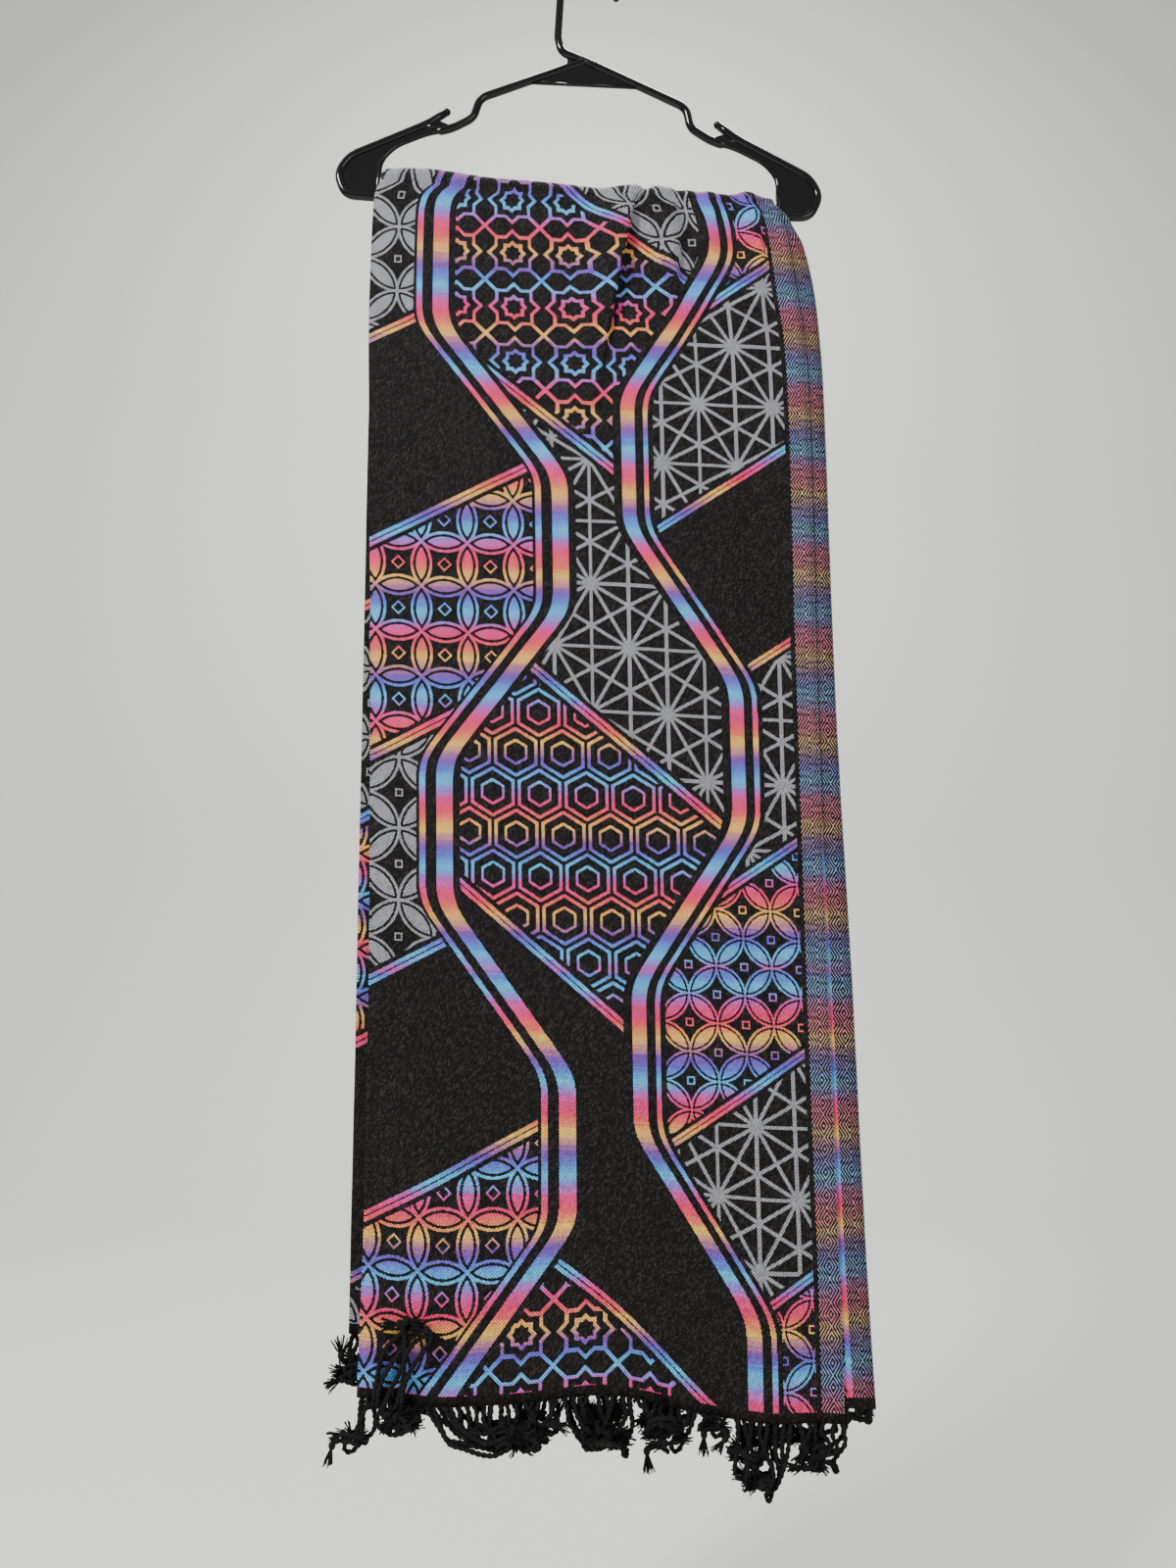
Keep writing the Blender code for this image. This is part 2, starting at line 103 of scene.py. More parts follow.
Ridge = namedtuple("Ridge", "x_bar x_low drop_low left right high_bar high")
FRONT_RIDGES = (
    Ridge(0.037, 0.001, 0.190, 0.036, 0.007, 0.0052, 0.0090),
    Ridge(0.053, 0.048, 0.055, 0.009, 0.006, 0.0018, 0.0020),
    Ridge(0.064, 0.066, 0.150, 0.018, 0.007, 0.0026, 0.0048),
    Ridge(0.096, 0.094, 0.080, 0.012, 0.007, 0.0020, 0.0028),
    Ridge(0.131, 0.136, 0.110, 0.016, 0.008, 0.0020, 0.0036),
    Ridge(-0.168, -0.150, 0.090, 0.050, 0.090, 0.0050, 0.0026),
)
BACK_RIDGES = (
    Ridge(0.040, 0.052, 0.190, 0.034, 0.007, 0.0050, 0.0060),
    Ridge(0.062, 0.080, 0.130, 0.010, 0.008, 0.0014, 0.0026),
    Ridge(0.084, 0.112, 0.120, 0.013, 0.020, 0.0022, 0.0030),
    Ridge(0.126, 0.140, 0.140, 0.012, 0.010, 0.0018, 0.0032),
    Ridge(-0.168, -0.140, 0.120, 0.050, 0.090, 0.0050, 0.0030),
)
RIDGE_FULL = 0.2
RIDGE_FADE = 0.3
STEEP_RIGHT = 0.05
CREASE_LEAN = 0.95
LEAN_START = 0.012

Wave = namedtuple("Wave", "x width middle hem")
FRONT_WAVES = (
    Wave(-0.108, 0.050, 0.0008, 0.0028),
    Wave(0.014, 0.060, 0.0014, 0.0046),
    Wave(0.122, 0.044, 0.0010, 0.0030),
)
BACK_WAVES = (
    Wave(-0.060, 0.058, 0.0012, 0.0042),
    Wave(0.075, 0.062, 0.0010, 0.0036),
)
WAVE_START = 0.15
WAVE_MIDDLE = 0.50

# Fine ripples that no solid holds: height, wavelength across and down, and phase
RIPPLE_START = 0.05
Ripple = namedtuple("Ripple", "high across down phase")
RIPPLES = (
    Ripple(0.00035, 0.083, 0.310, 0.4),
    Ripple(0.00028, 0.047, 0.190, 2.1),
    Ripple(0.00022, 0.119, 0.077, 4.0),
)

# Swells of the crown above the bar, and of the hem above a straight one
Swell = namedtuple("Swell", "x width high")
CROWN_SWELLS = (
    Swell(-0.122, 0.052, 0.0072),
    Swell(-0.040, 0.050, 0.0040),
    Swell(0.054, 0.011, 0.0042),
    Swell(0.077, 0.010, 0.0030),
    Swell(0.101, 0.012, 0.0018),
    Swell(0.125, 0.011, 0.0030),
)
INNER_SWELL = 0.30
HEM_SWELLS = (
    Swell(-0.112, 0.032, -0.0035),
    Swell(0.013, 0.050, 0.0118),
    Swell(0.128, 0.022, -0.0020),
)
HEM_SWELL_REACH = 0.26
BACK_HEM_SWELL = 0.4
INNER_SHORTER = 0.0100
INNER_SHORTER_FROM = -0.14
INNER_SHORTER_SPAN = 0.28

Zone = namedtuple("Zone", "start end steps")
CREST_SHARE = 0.678
CREST_REACH_LEFT = 0.60
CREST_REACH_RIGHT = 0.32
CREST_FADE = 0.2
OUTER_ZONES = (Zone(0.00, 0.56, 26), Zone(0.56, 0.72, 20), Zone(0.72, 1.00, 20))
INNER_ZONES = (Zone(0.00, 0.60, 18), Zone(0.60, 1.00, 20))
FOLD_STEPS = 6
ARC_STEPS = 12
FRONT_ROWS = 120
BACK_ROWS = 104
ROW_CROWDING = 1.25

# Hanger routes, in its own frame below the apex
HOOK_RADIUS = 0.0240
HOOK_ROD = 0.00325
INNER_ROD = 0.0022
APEX_HEIGHT = -0.08875
BAR_HEIGHT = 0.0140
HOOK_CENTRE = 0.0680
HOOK_END = math.radians(-20.0)
HOOK_STEPS = 40
Corner = namedtuple("Corner", "x z round rod")
OPENING_RIM = (
    Corner(0.0000, 0.0000, 0.000, RIM_ROD),
    Corner(0.0852, -0.0378, 0.010, RIM_ROD),
    Corner(0.0895, -0.0556, 0.008, RIM_ROD),
    Corner(0.1080, -0.0672, 0.020, RIM_ROD),
    Corner(0.1260, -0.0712, 0.020, INNER_ROD),
    Corner(0.1520, -0.0838, 0.016, INNER_ROD),
    Corner(0.1636, -0.0980, 0.016, INNER_ROD),
    Corner(0.1637, BAR_TOP - APEX_HEIGHT - RIM_ROD, 0.000, RIM_ROD),
)
OUTER_RIM = (
    Corner(0.1118, -0.0517, 0.000, RIM_ROD),
    Corner(0.1264, -0.0630, 0.012, RIM_ROD),
    Corner(0.1885, -0.0950, 0.016, RIM_ROD),
    Corner(0.1978, -0.1110, 0.012, RIM_ROD),
    Corner(0.1900, -0.1300, 0.012, RIM_ROD),
    Corner(0.1650, BAR_TOP - BAR_HEIGHT - APEX_HEIGHT + RIM_ROD, 0.000, RIM_ROD),
)
HOOK_FOOT = (
    Corner(-HOOK_RADIUS, 0.0200, 0.000, HOOK_ROD),
    Corner(-0.0205, 0.0075, 0.012, HOOK_ROD),
    Corner(0.0090, -0.0040, 0.000, HOOK_ROD),
)
NOTCH_RIM = (
    Corner(0.1085, -0.0672, 0.000, INNER_ROD),
    Corner(0.1180, -0.0655, 0.010, INNER_ROD),
    Corner(0.1300, -0.0660, 0.000, INNER_ROD),
)
APEX_WEB = ((0.0, -0.001), (0.046, -0.0205), (0.038, -0.0225), (-0.038, -0.0225), (-0.046, -0.0205))
HOOK_WEB = ((-0.0150, 0.0060), (0.0020, -0.0010), (-0.0150, -0.0068))
APEX_RIM = ((-0.044, -0.0212, 0.0017), (0.044, -0.0212, 0.0017))
WEB_INNER_START = 0.104
WEB_OUTER_START = 0.120
BAR_WEB_END = 0.164
BAR_WEB_SHARE = 1.2
APEX_WEB_SHARE = 0.9
HOOK_WEB_SHARE = 0.8

# Bunches of the fringe: the x of the last cord's root, where the ends gather and how far they hang
Bunch = namedtuple("Bunch", "end gather reach")
FRONT_BUNCHES = (
    Bunch(-0.152, -0.168, 0.047),
    Bunch(-0.118, -0.130, 0.031),
    Bunch(-0.066, -0.054, 0.040),
    Bunch(-0.022, -0.036, 0.038),
    Bunch(0.030, 0.011, 0.048),
    Bunch(0.078, 0.052, 0.038),
    Bunch(0.096, 0.084, 0.017),
    Bunch(0.146, 0.117, 0.052),
    Bunch(0.186, 0.154, 0.041),
    Bunch(0.210, 0.190, 0.020),
)
BACK_BUNCHES = (
    Bunch(-0.140, -0.172, 0.044),
    Bunch(-0.090, -0.096, 0.034),
    Bunch(-0.030, -0.070, 0.043),
    Bunch(0.020, 0.012, 0.034),
    Bunch(0.075, 0.038, 0.046),
    Bunch(0.130, 0.116, 0.036),
    Bunch(0.190, 0.152, 0.043),
)
KNOT_RADIUS = 0.0026
TUFT_LENGTH = 0.0125
TUFT_FIBRES = 30
FIBRE_RADIUS = 0.0005
CORD_STEP = 0.0013
CORD_FLATNESS = 0.66
SEED = 11

# How a cord leaves the hem, sags, comes back to its bunch and curls on the way
GUIDE_POINTS = 26
ROOT_LIFT = 0.0012
LANES = (0.0, 1.0, 2.0)
FIRST_LANE = 0.0030
LANE_GAPS = {"outer": 0.0035, "inner": 0.0012}
SHORTEST_SHARE = 0.62
SHORTEST_DROP = 0.006
GATHER_SPREAD = 0.007
SAG_SHIFT = 0.15
SAG_DEPTH = 1.25
RETURN_SHIFT = 0.45
RETURN_DEPTH = 0.35
CURL_TURNS = (0.9, 2.2)
CURL_FADE = 0.07
LEAST_CURL = 0.35
CURL_GROWTH = 0.45
CURL_HEIGHT = 0.7
CURL_DEPTH = 0.0014
CORNER_END = 0.1955
CORNER_SQUEEZE = 0.85

# The cords that are thrown up over the corner
FLIPPED_CORDS = 5
FLIPPED_START = -0.158
FLIPPED_GAP = 0.0055
FLIPPED_RISE = 0.050
FLIPPED_SAG = 0.005
FLIPPED_LEAN = 0.020
FLIPPED_CURL = 0.006
FLIPPED_STAND = 0.0030

# Colours of the weft down one repeat, sRGB: cyan, lavender, pink, crimson, salmon, yellow and back
RAINBOW = (
    (0.00, (0.28, 0.76, 0.93)),
    (0.10, (0.52, 0.46, 0.86)),
    (0.20, (0.88, 0.20, 0.56)),
    (0.34, (0.93, 0.12, 0.36)),
    (0.45, (0.95, 0.42, 0.32)),
    (0.55, (0.98, 0.78, 0.28)),
    (0.64, (0.80, 0.52, 0.48)),
    (0.75, (0.46, 0.22, 0.66)),
    (0.84, (0.36, 0.34, 0.80)),
    (0.92, (0.30, 0.56, 0.90)),
    (1.00, (0.28, 0.76, 0.93)),
)

PALE_SHARE = 0.10
BORDER_GREY = 0.42

# The weave, in millimetres on the flat cloth
MM = 1000.0
THREAD = 0.6
THREAD_SHIFT = 5.0
TWILL = 1.6
DASH = 2.3
FLECK_ACROSS = 1.3
FLECK_ALONG = 1.5
BORDER = 16.0
BORDER_FILL = 0.42
# Less colour fill on the inner layer's border, so it is darker: painted shade of the outer layer over it
INNER_BORDER_PAINTED_SHADE = 0.09
DIAMOND = 16.3
DIAMOND_SLANT = 0.62
DIAMOND_MIDDLE = 7.5
DIAMOND_LINE = 2.3
STITCH_DEPTH = 1.0
STITCH = 2.4
STITCH_FILL = 0.45

# Where the first cyan weft lies above and below the spool's end, and how fast the bands turn at the bar
UPPER_START = 12.3
LOWER_START = 11.3
OVER_BAR = 200.0

# The pattern: two zigzag bands, each with a fine line beside it, and three rows of slanted panels
Band = namedtuple("Band", "middle swing shift half line_at line_half")
INNER_BAND = Band(112.0, 46.0, 0.12, 6.5, -17.0, 2.4)
OUTER_BAND = Band(252.0, 40.0, 0.47, 5.5, 14.0, 1.9)
BAND_PITCH = 460.0
ZIGZAG_STEEP = 1.9
ZIGZAG_ROUND = 0.35
CORE_GAP = 22.0
FIELD_GAP = 12.0
SIDE_GAP = 20.0
SIDE_END = 335.0
Row = namedtuple("Row", "pitch slant start line_pitch fillings")
CORE = Row(168.0, -0.55, 50.0, 147.0, ("rings", "", "leaves"))
FIELD = Row(214.0, 0.8, 0.0, 167.0, ("stars", "high leaves", "combs", "rays"))
SIDE = Row(155.0, -0.7, 290.0, 155.0, ("side rings", "rays", "side rings", "rays", "", "rays"))
GREY_FILLINGS = ("leaves", "high leaves", "rays")
PANEL_LINE = 2.0
PANEL_LINE_HALF = 1.5
PANEL_MARGIN = 7.0
STAR_PITCH = 46.0
STAR_OUTER = 0.30
STAR_INNER = 0.14
COMB_PITCH = 36.0
COMB_OUTER = 0.43
COMB_INNER = 0.22
RING_PITCH = 36.0
SIDE_RING_PITCH = 42.0
LEAF_PITCH = 54.0
LEAVES_START = 700.0
RAY_SIDE = 58.0
LINE_HALF = 1.3
PETAL_HEART = 2.9
LOZENGE = 4.6

# The photograph's camera
LENS = 27.0
SENSOR = 36.0
CAMERA_PLACE = (-0.0025, -0.891, -0.811)
CAMERA_PITCH = math.radians(7.47)

# The stage: floor, wall, half width and sweep of the backdrop, and the lights
FLOOR = -1.42
FLOOR_FRONT = -3.2
WALL = 2.6
WALL_HEIGHT = 4.2
HALF_WIDTH = 3.6
SWEEP = 0.9
SWEEP_STEPS = 12
ROOM_COLOUR = (0.93, 0.94, 0.95, 1.0)
ROOM_LIGHT = 0.52
Lamp = namedtuple("Lamp", "name place target size power")
LAMPS = (
    Lamp("Key", (-1.5, -1.7, 0.9), (0.0, 0.0, -0.6), 0.6, 84.0),
    Lamp("Fill", (1.3, -2.1, -0.3), (0.0, 0.0, -0.7), 1.4, 16.0),
    Lamp("Top", (0.2, 0.9, 1.5), (0.0, 0.0, -0.4), 1.0, 30.0),
    Lamp("Backdrop light", (0.0, 0.7, 1.6), (0.0, 2.6, -0.6), 2.0, 60.0),
)


def srgb(colour):
    """sRGB to linear, with alpha 1."""
    linear = [c / 12.92 if c <= 0.04045 else ((c + 0.055) / 1.055) ** 2.4 for c in colour]
    return (*linear, 1.0)


def blend(low, high, share):
    return low + (high - low) * share


def ease(share):
    """0 to 1, starting and ending softly."""
    share = min(max(share, 0.0), 1.0)
    return share * share * (3.0 - 2.0 * share)


def spaced(zones):
    """Values through the zones, each start given once."""
    values = [zones[0].start]
    for zone in zones:
        for step in range(1, zone.steps + 1):
            values.append(blend(zone.start, zone.end, step / zone.steps))
    return values


def table_value(rows, column, drop):
    """One column of an edge table, on a smooth curve through its rows."""
    drop = min(max(drop, rows[0].drop), rows[-1].drop)
    last = len(rows) - 1
    at = min(next(i for i in range(last) if drop <= rows[i + 1].drop), last - 1)

    def slope(row):
        before = rows[max(row - 1, 0)]
        after = rows[min(row + 1, last)]
        return (getattr(after, column) - getattr(before, column)) / (after.drop - before.drop)

    low, high = rows[at], rows[at + 1]
    width = high.drop - low.drop
    share = (drop - low.drop) / width
    start_pull = share * (1.0 - share) ** 2 * width * slope(at)
    end_pull = share**2 * (share - 1.0) * width * slope(at + 1)
    return blend(getattr(low, column), getattr(high, column), ease(share)) + start_pull + end_pull


Station = namedtuple("Station", "angle drop")


def side_of(station):
    return FRONT if station.angle < 0.0 else BACK


def edge_x(column, station):
    rows = FRONT_EDGES if side_of(station) == FRONT else BACK_EDGES
    if station.drop > 0.0:
        return table_value(rows, column, station.drop)
    return blend(getattr(CROWN, column), getattr(rows[0], column), abs(math.sin(station.angle)))


def bar_top(x):
    """Height of the tilted bar's top."""
    return BAR_TOP / math.cos(TILT) - x * math.tan(TILT)


def ridge_x(ridge, drop):
    return blend(ridge.x_bar, ridge.x_low, min(drop / ridge.drop_low, 1.0) ** 0.5)


def ridge_height(ridge, x, drop):
    """How far one gather stands out: a slow rise on its left and a short fall on its right."""
    away = x - ridge_x(ridge, drop)
    width = ridge.left if away < 0.0 else ridge.right
    if abs(away) >= width or drop >= ridge.drop_low:
        return 0.0
    along = drop / ridge.drop_low
    high = blend(ridge.high_bar, ridge.high, ease(along / RIDGE_FULL))
    high *= 1.0 - ease((along - RIDGE_FADE) / (1.0 - RIDGE_FADE))
    return high * math.cos(0.5 * math.pi * away / width) ** 2


def relief(ridges, x, drop):
    return sum(ridge_height(ridge, x, drop) for ridge in ridges)


def wave_height(waves, x, drop):
    early = ease((drop - WAVE_START) / (WAVE_MIDDLE - WAVE_START))
    late = ease((drop - WAVE_MIDDLE) / (FRONT_HEM - WAVE_MIDDLE))
    total = 0.0
    for wave in waves:
        bell = math.exp(-(((x - wave.x) / wave.width) ** 2))
        total += bell * (wave.middle * early + (wave.hem - wave.middle) * late)
    return total


def ripple_height(x, station):
    """Faint unevenness of hanging cloth, the same on both layers, none on the bar."""
    fade = ease(station.drop / RIPPLE_START)
    total = 0.0
    for ripple in RIPPLES:
        turn = x / ripple.across + side_of(station) * station.drop / ripple.down
        total += ripple.high * math.sin(2.0 * math.pi * turn + ripple.phase)
    return total * fade


def swell_height(swells, x):
    return sum(swell.high * math.exp(-(((x - swell.x) / swell.width) ** 2)) for swell in swells)


def hem_rise(layer, x, station):
    """How far the cloth's lower end stands above a straight hem."""
    if side_of(station) == FRONT:
        low, rise = FRONT_HEM, swell_height(HEM_SWELLS, x)
    else:
        low, rise = BACK_HEM, BACK_HEM_SWELL * swell_height(HEM_SWELLS, -x)
    if layer == "inner":
        rise += INNER_SHORTER * ease((x - INNER_SHORTER_FROM) / INNER_SHORTER_SPAN)
    return rise * ease(1.0 - (low - station.drop) / HEM_SWELL_REACH)


def outward(layer, x, station):
    """Distance of a layer's middle from the bar's middle plane."""
    to_back = 0.5 + 0.5 * math.sin(station.angle)
    gathers = relief(FRONT_RIDGES, x, station.drop) * (1.0 - to_back)
    gathers += relief(BACK_RIDGES, x, station.drop) * to_back
    waves = FRONT_WAVES if side_of(station) == FRONT else BACK_WAVES
    sway = wave_height(waves, x, station.drop) + ripple_height(x, station)
    down = station.drop / FRONT_HEM
    if station.drop == 0.0:
        swell = swell_height(CROWN_SWELLS, x) * math.cos(station.angle) ** 0.8
        sway += swell if layer == "outer" else swell * INNER_SWELL
    if layer == "outer":
        return blend(OUTER_AT_BAR, OUTER_AT_HEM, down) + gathers + sway
    return blend(INNER_AT_BAR, INNER_AT_HEM, down) + gathers * INNER_RELIEF + sway


def placed(layer, x, distance, station):
    """The point at this x and distance from the bar's middle."""
    y = distance * math.sin(station.angle)
    z = bar_top(x) - RIM_ROD + distance * math.cos(station.angle) - station.drop
    return Vector((x, y, z + hem_rise(layer, x, station)))


def fold_radius(station):
    x = edge_x("fold", station)
    return 0.5 * (outward("outer", x, station) - outward("inner", x, station))


def column_x(layer, share, station):
    """x of a column. The outer layer's columns lean with the deep crease."""
    start = edge_x("fold", station) + fold_radius(station)
    end = edge_x(layer, station)
    x = blend(start, end, share)
    if layer == "inner":
        return x
    ridge = (FRONT_RIDGES if side_of(station) == FRONT else BACK_RIDGES)[0]
    crest = ridge_x(ridge, station.drop) - blend(start, end, CREST_SHARE)
    away = share - CREST_SHARE
    reach = CREST_REACH_LEFT if away < 0.0 else CREST_REACH_RIGHT
    if abs(away) >= reach:
        return x
    fade = 1.0 - ease((station.drop - ridge.drop_low) / CREST_FADE)
    return x + crest * fade * math.cos(0.5 * math.pi * away / reach) ** 2


def along_of(station):
    """Length along the cloth from the front hem."""
    if station.drop > 0.0 and side_of(station) == FRONT:
        return FRONT_HEM - station.drop
    return FRONT_HEM + OUTER_AT_BAR * (station.angle - FRONT_ANGLE) + station.drop


def crease_lean(x, station):
    """How far a gather's crest leans to the right, over the valley beside it."""
    if abs(math.sin(station.angle)) < 0.5:
        return 0.0
    ridges = FRONT_RIDGES if side_of(station) == FRONT else BACK_RIDGES
    steep = [ridge for ridge in ridges if ridge.right < STEEP_RIGHT]
    return CREASE_LEAN * relief(steep, x, station.drop) * ease(station.drop / LEAN_START)


def cloth_row(station):
    """One row of points with their places on the flat cloth, from selvedge to selvedge."""
    along = along_of(station)
    row = []
    start = edge_x("fold", station) + fold_radius(station)
    end = edge_x("outer", station)
    for share in reversed(spaced(OUTER_ZONES)):
        x = column_x("outer", share, station)
        across = OUTER_WIDTH * (1.0 - (x - start) / (end - start))
        place = placed("outer", x, outward("outer", x, station), station)
        place.x += crease_lean(x, station)
        row.append((place, (across, along)))
    radius = fold_radius(station)
    edge = edge_x("fold", station)
    middle = outward("inner", edge, station) + radius
    for step in range(1, FOLD_STEPS):
        turn = math.pi * step / FOLD_STEPS
        x = edge + radius - radius * math.sin(turn)
        row.append((placed("inner", x, middle + radius * math.cos(turn), station), (OUTER_WIDTH, along)))
    for share in spaced(INNER_ZONES):
        x = column_x("inner", share, station)
        across = OUTER_WIDTH + INNER_WIDTH * share
        row.append((placed("inner", x, outward("inner", x, station), station), (across, along)))
    return row


def cloth_stations():
    """From the front hem up, over the bar and down to the back hem."""
    stations = []
    for step in range(FRONT_ROWS):
        share = 1.0 - step / FRONT_ROWS
        stations.append(Station(FRONT_ANGLE, FRONT_HEM * share**ROW_CROWDING))
    for step in range(ARC_STEPS + 1):
        stations.append(Station(blend(FRONT_ANGLE, BACK_ANGLE, step / ARC_STEPS), 0.0))
    for step in range(1, BACK_ROWS + 1):
        stations.append(Station(BACK_ANGLE, BACK_HEM * (step / BACK_ROWS) ** ROW_CROWDING))
    return stations


def link_object(name, mesh):
    made = bpy.data.objects.new(name, mesh)
    bpy.context.scene.collection.objects.link(made)
    return made


def link_mesh(name, bm):
    """An object from a bmesh, which is freed."""
    mesh = bpy.data.meshes.new(name)
    bm.to_mesh(mesh)
    bm.free()
    return link_object(name, mesh)


def applied(obj):
    """Turns an object's modifiers, or a curve, into its own plain mesh."""
    bpy.context.view_layer.update()
    graph = bpy.context.evaluated_depsgraph_get()
    mesh = bpy.data.meshes.new_from_object(obj.evaluated_get(graph))
    name = obj.name
    bpy.data.objects.remove(obj)
    mesh.name = name
    return link_object(name, mesh)


class Value:
    """A shader socket that takes part in Python expressions."""

    def __init__(self, board, socket):
        self.board = board
        self.socket = socket

    def math(self, operation, *others):
        return self.board.math(operation, self, *others)

    def __rsub__(self, other):
        return self.board.math("SUBTRACT", other, self)


def maths_method(operation):
    """A method of Value that makes one maths node."""
    return lambda value, *others: value.math(operation, *others)


OPERATIONS = {
    "__add__": "ADD",
    "__radd__": "ADD",
    "__sub__": "SUBTRACT",
    "__mul__": "MULTIPLY",
    "__rmul__": "MULTIPLY",
    "__truediv__": "DIVIDE",
    "__lt__": "LESS_THAN",
    "__gt__": "GREATER_THAN",
    "__abs__": "ABSOLUTE",
    "most": "MAXIMUM",
    "least": "MINIMUM",
    "fraction": "FRACT",
    "whole": "FLOOR",
}
for method, maths in OPERATIONS.items():
    setattr(Value, method, maths_method(maths))


class Board:
    """A material's node tree: one method makes any node, one makes maths."""

    def __init__(self, name):
        self.material = bpy.data.materials.new(name)
        self.material.use_nodes = True
        self.tree = self.material.node_tree
        self.shader = self.tree.nodes["Principled BSDF"]

    def feed(self, socket, value):
        if isinstance(value, Value):
            self.tree.links.new(value.socket, socket)
        else:
            socket.default_value = value

    def node(self, kind, inputs=None, output=0, **settings):
        made = self.tree.nodes.new(kind)
        for name, value in settings.items():
            setattr(made, name, value)
        for name, value in (inputs or {}).items():
            self.feed(made.inputs[name], value)
        return Value(self, made.outputs[output])

    def math(self, operation, *values):
        return self.node("ShaderNodeMath", dict(enumerate(values)), operation=operation)

    def mix(self, factor, low, high):
        """Colour mix."""
        return self.node("ShaderNodeMix", {0: factor, 6: low, 7: high}, 2, data_type="RGBA")

    def ramp(self, factor, stops):
        made = self.tree.nodes.new("ShaderNodeValToRGB")
        elements = made.color_ramp.elements
        while len(elements) < len(stops):
            elements.new(0.5)
        for element, (place, colour) in zip(elements, stops):
            element.position = place
            element.color = srgb(colour)
        self.feed(made.inputs[0], factor)
        return Value(self, made.outputs[0])

    def scaled(self, colour, factor):
        """A colour made darker or lighter."""
        start = colour if isinstance(colour, Value) else colour[:3]
        return self.node("ShaderNodeVectorMath", {0: start, "Scale": factor}, operation="SCALE")

    def noise(self, scale, detail):
        """Soft noise on the piece's own coordinates."""
        place = self.node("ShaderNodeTexCoord", output=3)
        inputs = {"Scale": scale, "Detail": detail, "Vector": place}
        return self.node("ShaderNodeTexNoise", inputs)

    def fleck(self, cell):
        """One random number for each whole number."""
        return self.node("ShaderNodeTexWhiteNoise", {"W": cell}, noise_dimensions="1D")

    def bump(self, height, distance, strength):
        inputs = {"Height": height, "Distance": distance, "Strength": strength}
        self.feed(self.shader.inputs["Normal"], self.node("ShaderNodeBump", inputs))

    def surface(self, colour, roughness, specular):
        self.feed(self.shader.inputs["Base Color"], colour)
        self.feed(self.shader.inputs["Roughness"], roughness)
        self.feed(self.shader.inputs["Specular IOR Level"], specular)


def from_middle(value, pitch):
    """0 in the middle of each repeat and 0.5 at its ends."""
    return abs((value / pitch).fraction() - 0.5)


def from_line(value, pitch):
    """0 on each repeat's line and 0.5 half way between."""
    return 0.5 - from_middle(value, pitch)


def honeycomb(x, y, pitch):
    """Distance from a hexagon's middle, as 0.5 on its edges, in pitches."""
    tall = math.sqrt(3.0)
    cells = []
    for shift in (0.0, 0.5):
        a = abs((x / pitch + shift).fraction() - 0.5)
        b = abs((y / (pitch * tall) + shift).fraction() * tall - 0.5 * tall)
        cells.append(a.most(a * 0.5 + b * (0.5 * tall)))
    return cells[0].least(cells[1])


def star_rays(x, y, side):
    """Distance to the nearest line of a triangle grid with its medians, in millimetres."""
    nearest = None
    for turn in range(3):
        angle = math.radians(60.0 * turn)
        rise = side * math.sqrt(3.0) / 2.0
        edge = x * math.sin(angle) + y * math.cos(angle)
        median = x * math.cos(angle) - y * math.sin(angle)
        for line, pitch in ((edge, rise), (median, side * 0.5)):
            away = from_line(line, pitch) * pitch
            nearest = away if nearest is None else nearest.least(away)
    return nearest


def petals(x, y, pitch, line):
    """Rings of overlapping circles: outlined petals with filled hearts, and a lozenge between."""
    a = from_line(x, pitch)
    b = from_line(y, pitch)
    first = ((1.0 - a) * (1.0 - a) + b * b).math("SQRT")
    second = (a * a + (1.0 - b) * (1.0 - b)).math("SQRT")
    depth = (math.sqrt(0.5) - first.least(second)) * pitch
    lozenge = abs((a + b) * pitch - LOZENGE) < line * 0.9
    return (abs(depth) < line).most(depth > line * PETAL_HEART).most(lozenge)


def eight_point(x, y, pitch):
    """Distance to eight-pointed stars joined tip to tip, in millimetres."""
    a = from_line(x, pitch)
    b = from_line(y, pitch)
    star = a.most(b).least((a + b) * math.sqrt(0.5))
    outlines = abs(star - STAR_OUTER).least(abs(star - STAR_INNER))
    arms = abs(a - b) * math.sqrt(0.5) + (star < STAR_OUTER) * 1.0
    return outlines.least(arms) * pitch


def zigzag(value, pitch, shift):
    """-1 to 1 and back over each pitch, held level at both ends, as a panel's edge runs."""
    wave = (1.0 - 4.0 * abs((value / pitch + shift).fraction() - 0.5)) * ZIGZAG_STEEP
    return wave.math("SMOOTH_MAX", -1.0, ZIGZAG_ROUND).math("SMOOTH_MIN", 1.0, ZIGZAG_ROUND)


def cloth_places(board):
    """Millimetres across and along the flat cloth, in steps of one thread, and the unstepped ones."""
    uv = board.node("ShaderNodeUVMap", uv_map="flat")
    parts = board.tree.nodes.new("ShaderNodeSeparateXYZ")
    board.feed(parts.inputs[0], uv)
    across = Value(board, parts.outputs[0]) * (CLOTH_WIDTH * MM)
    along = Value(board, parts.outputs[1]) * (CLOTH_LENGTH * MM)
    stepped = [((value / THREAD).whole() + 0.5) * THREAD for value in (across, along)]
    return stepped[0], stepped[1], across, along


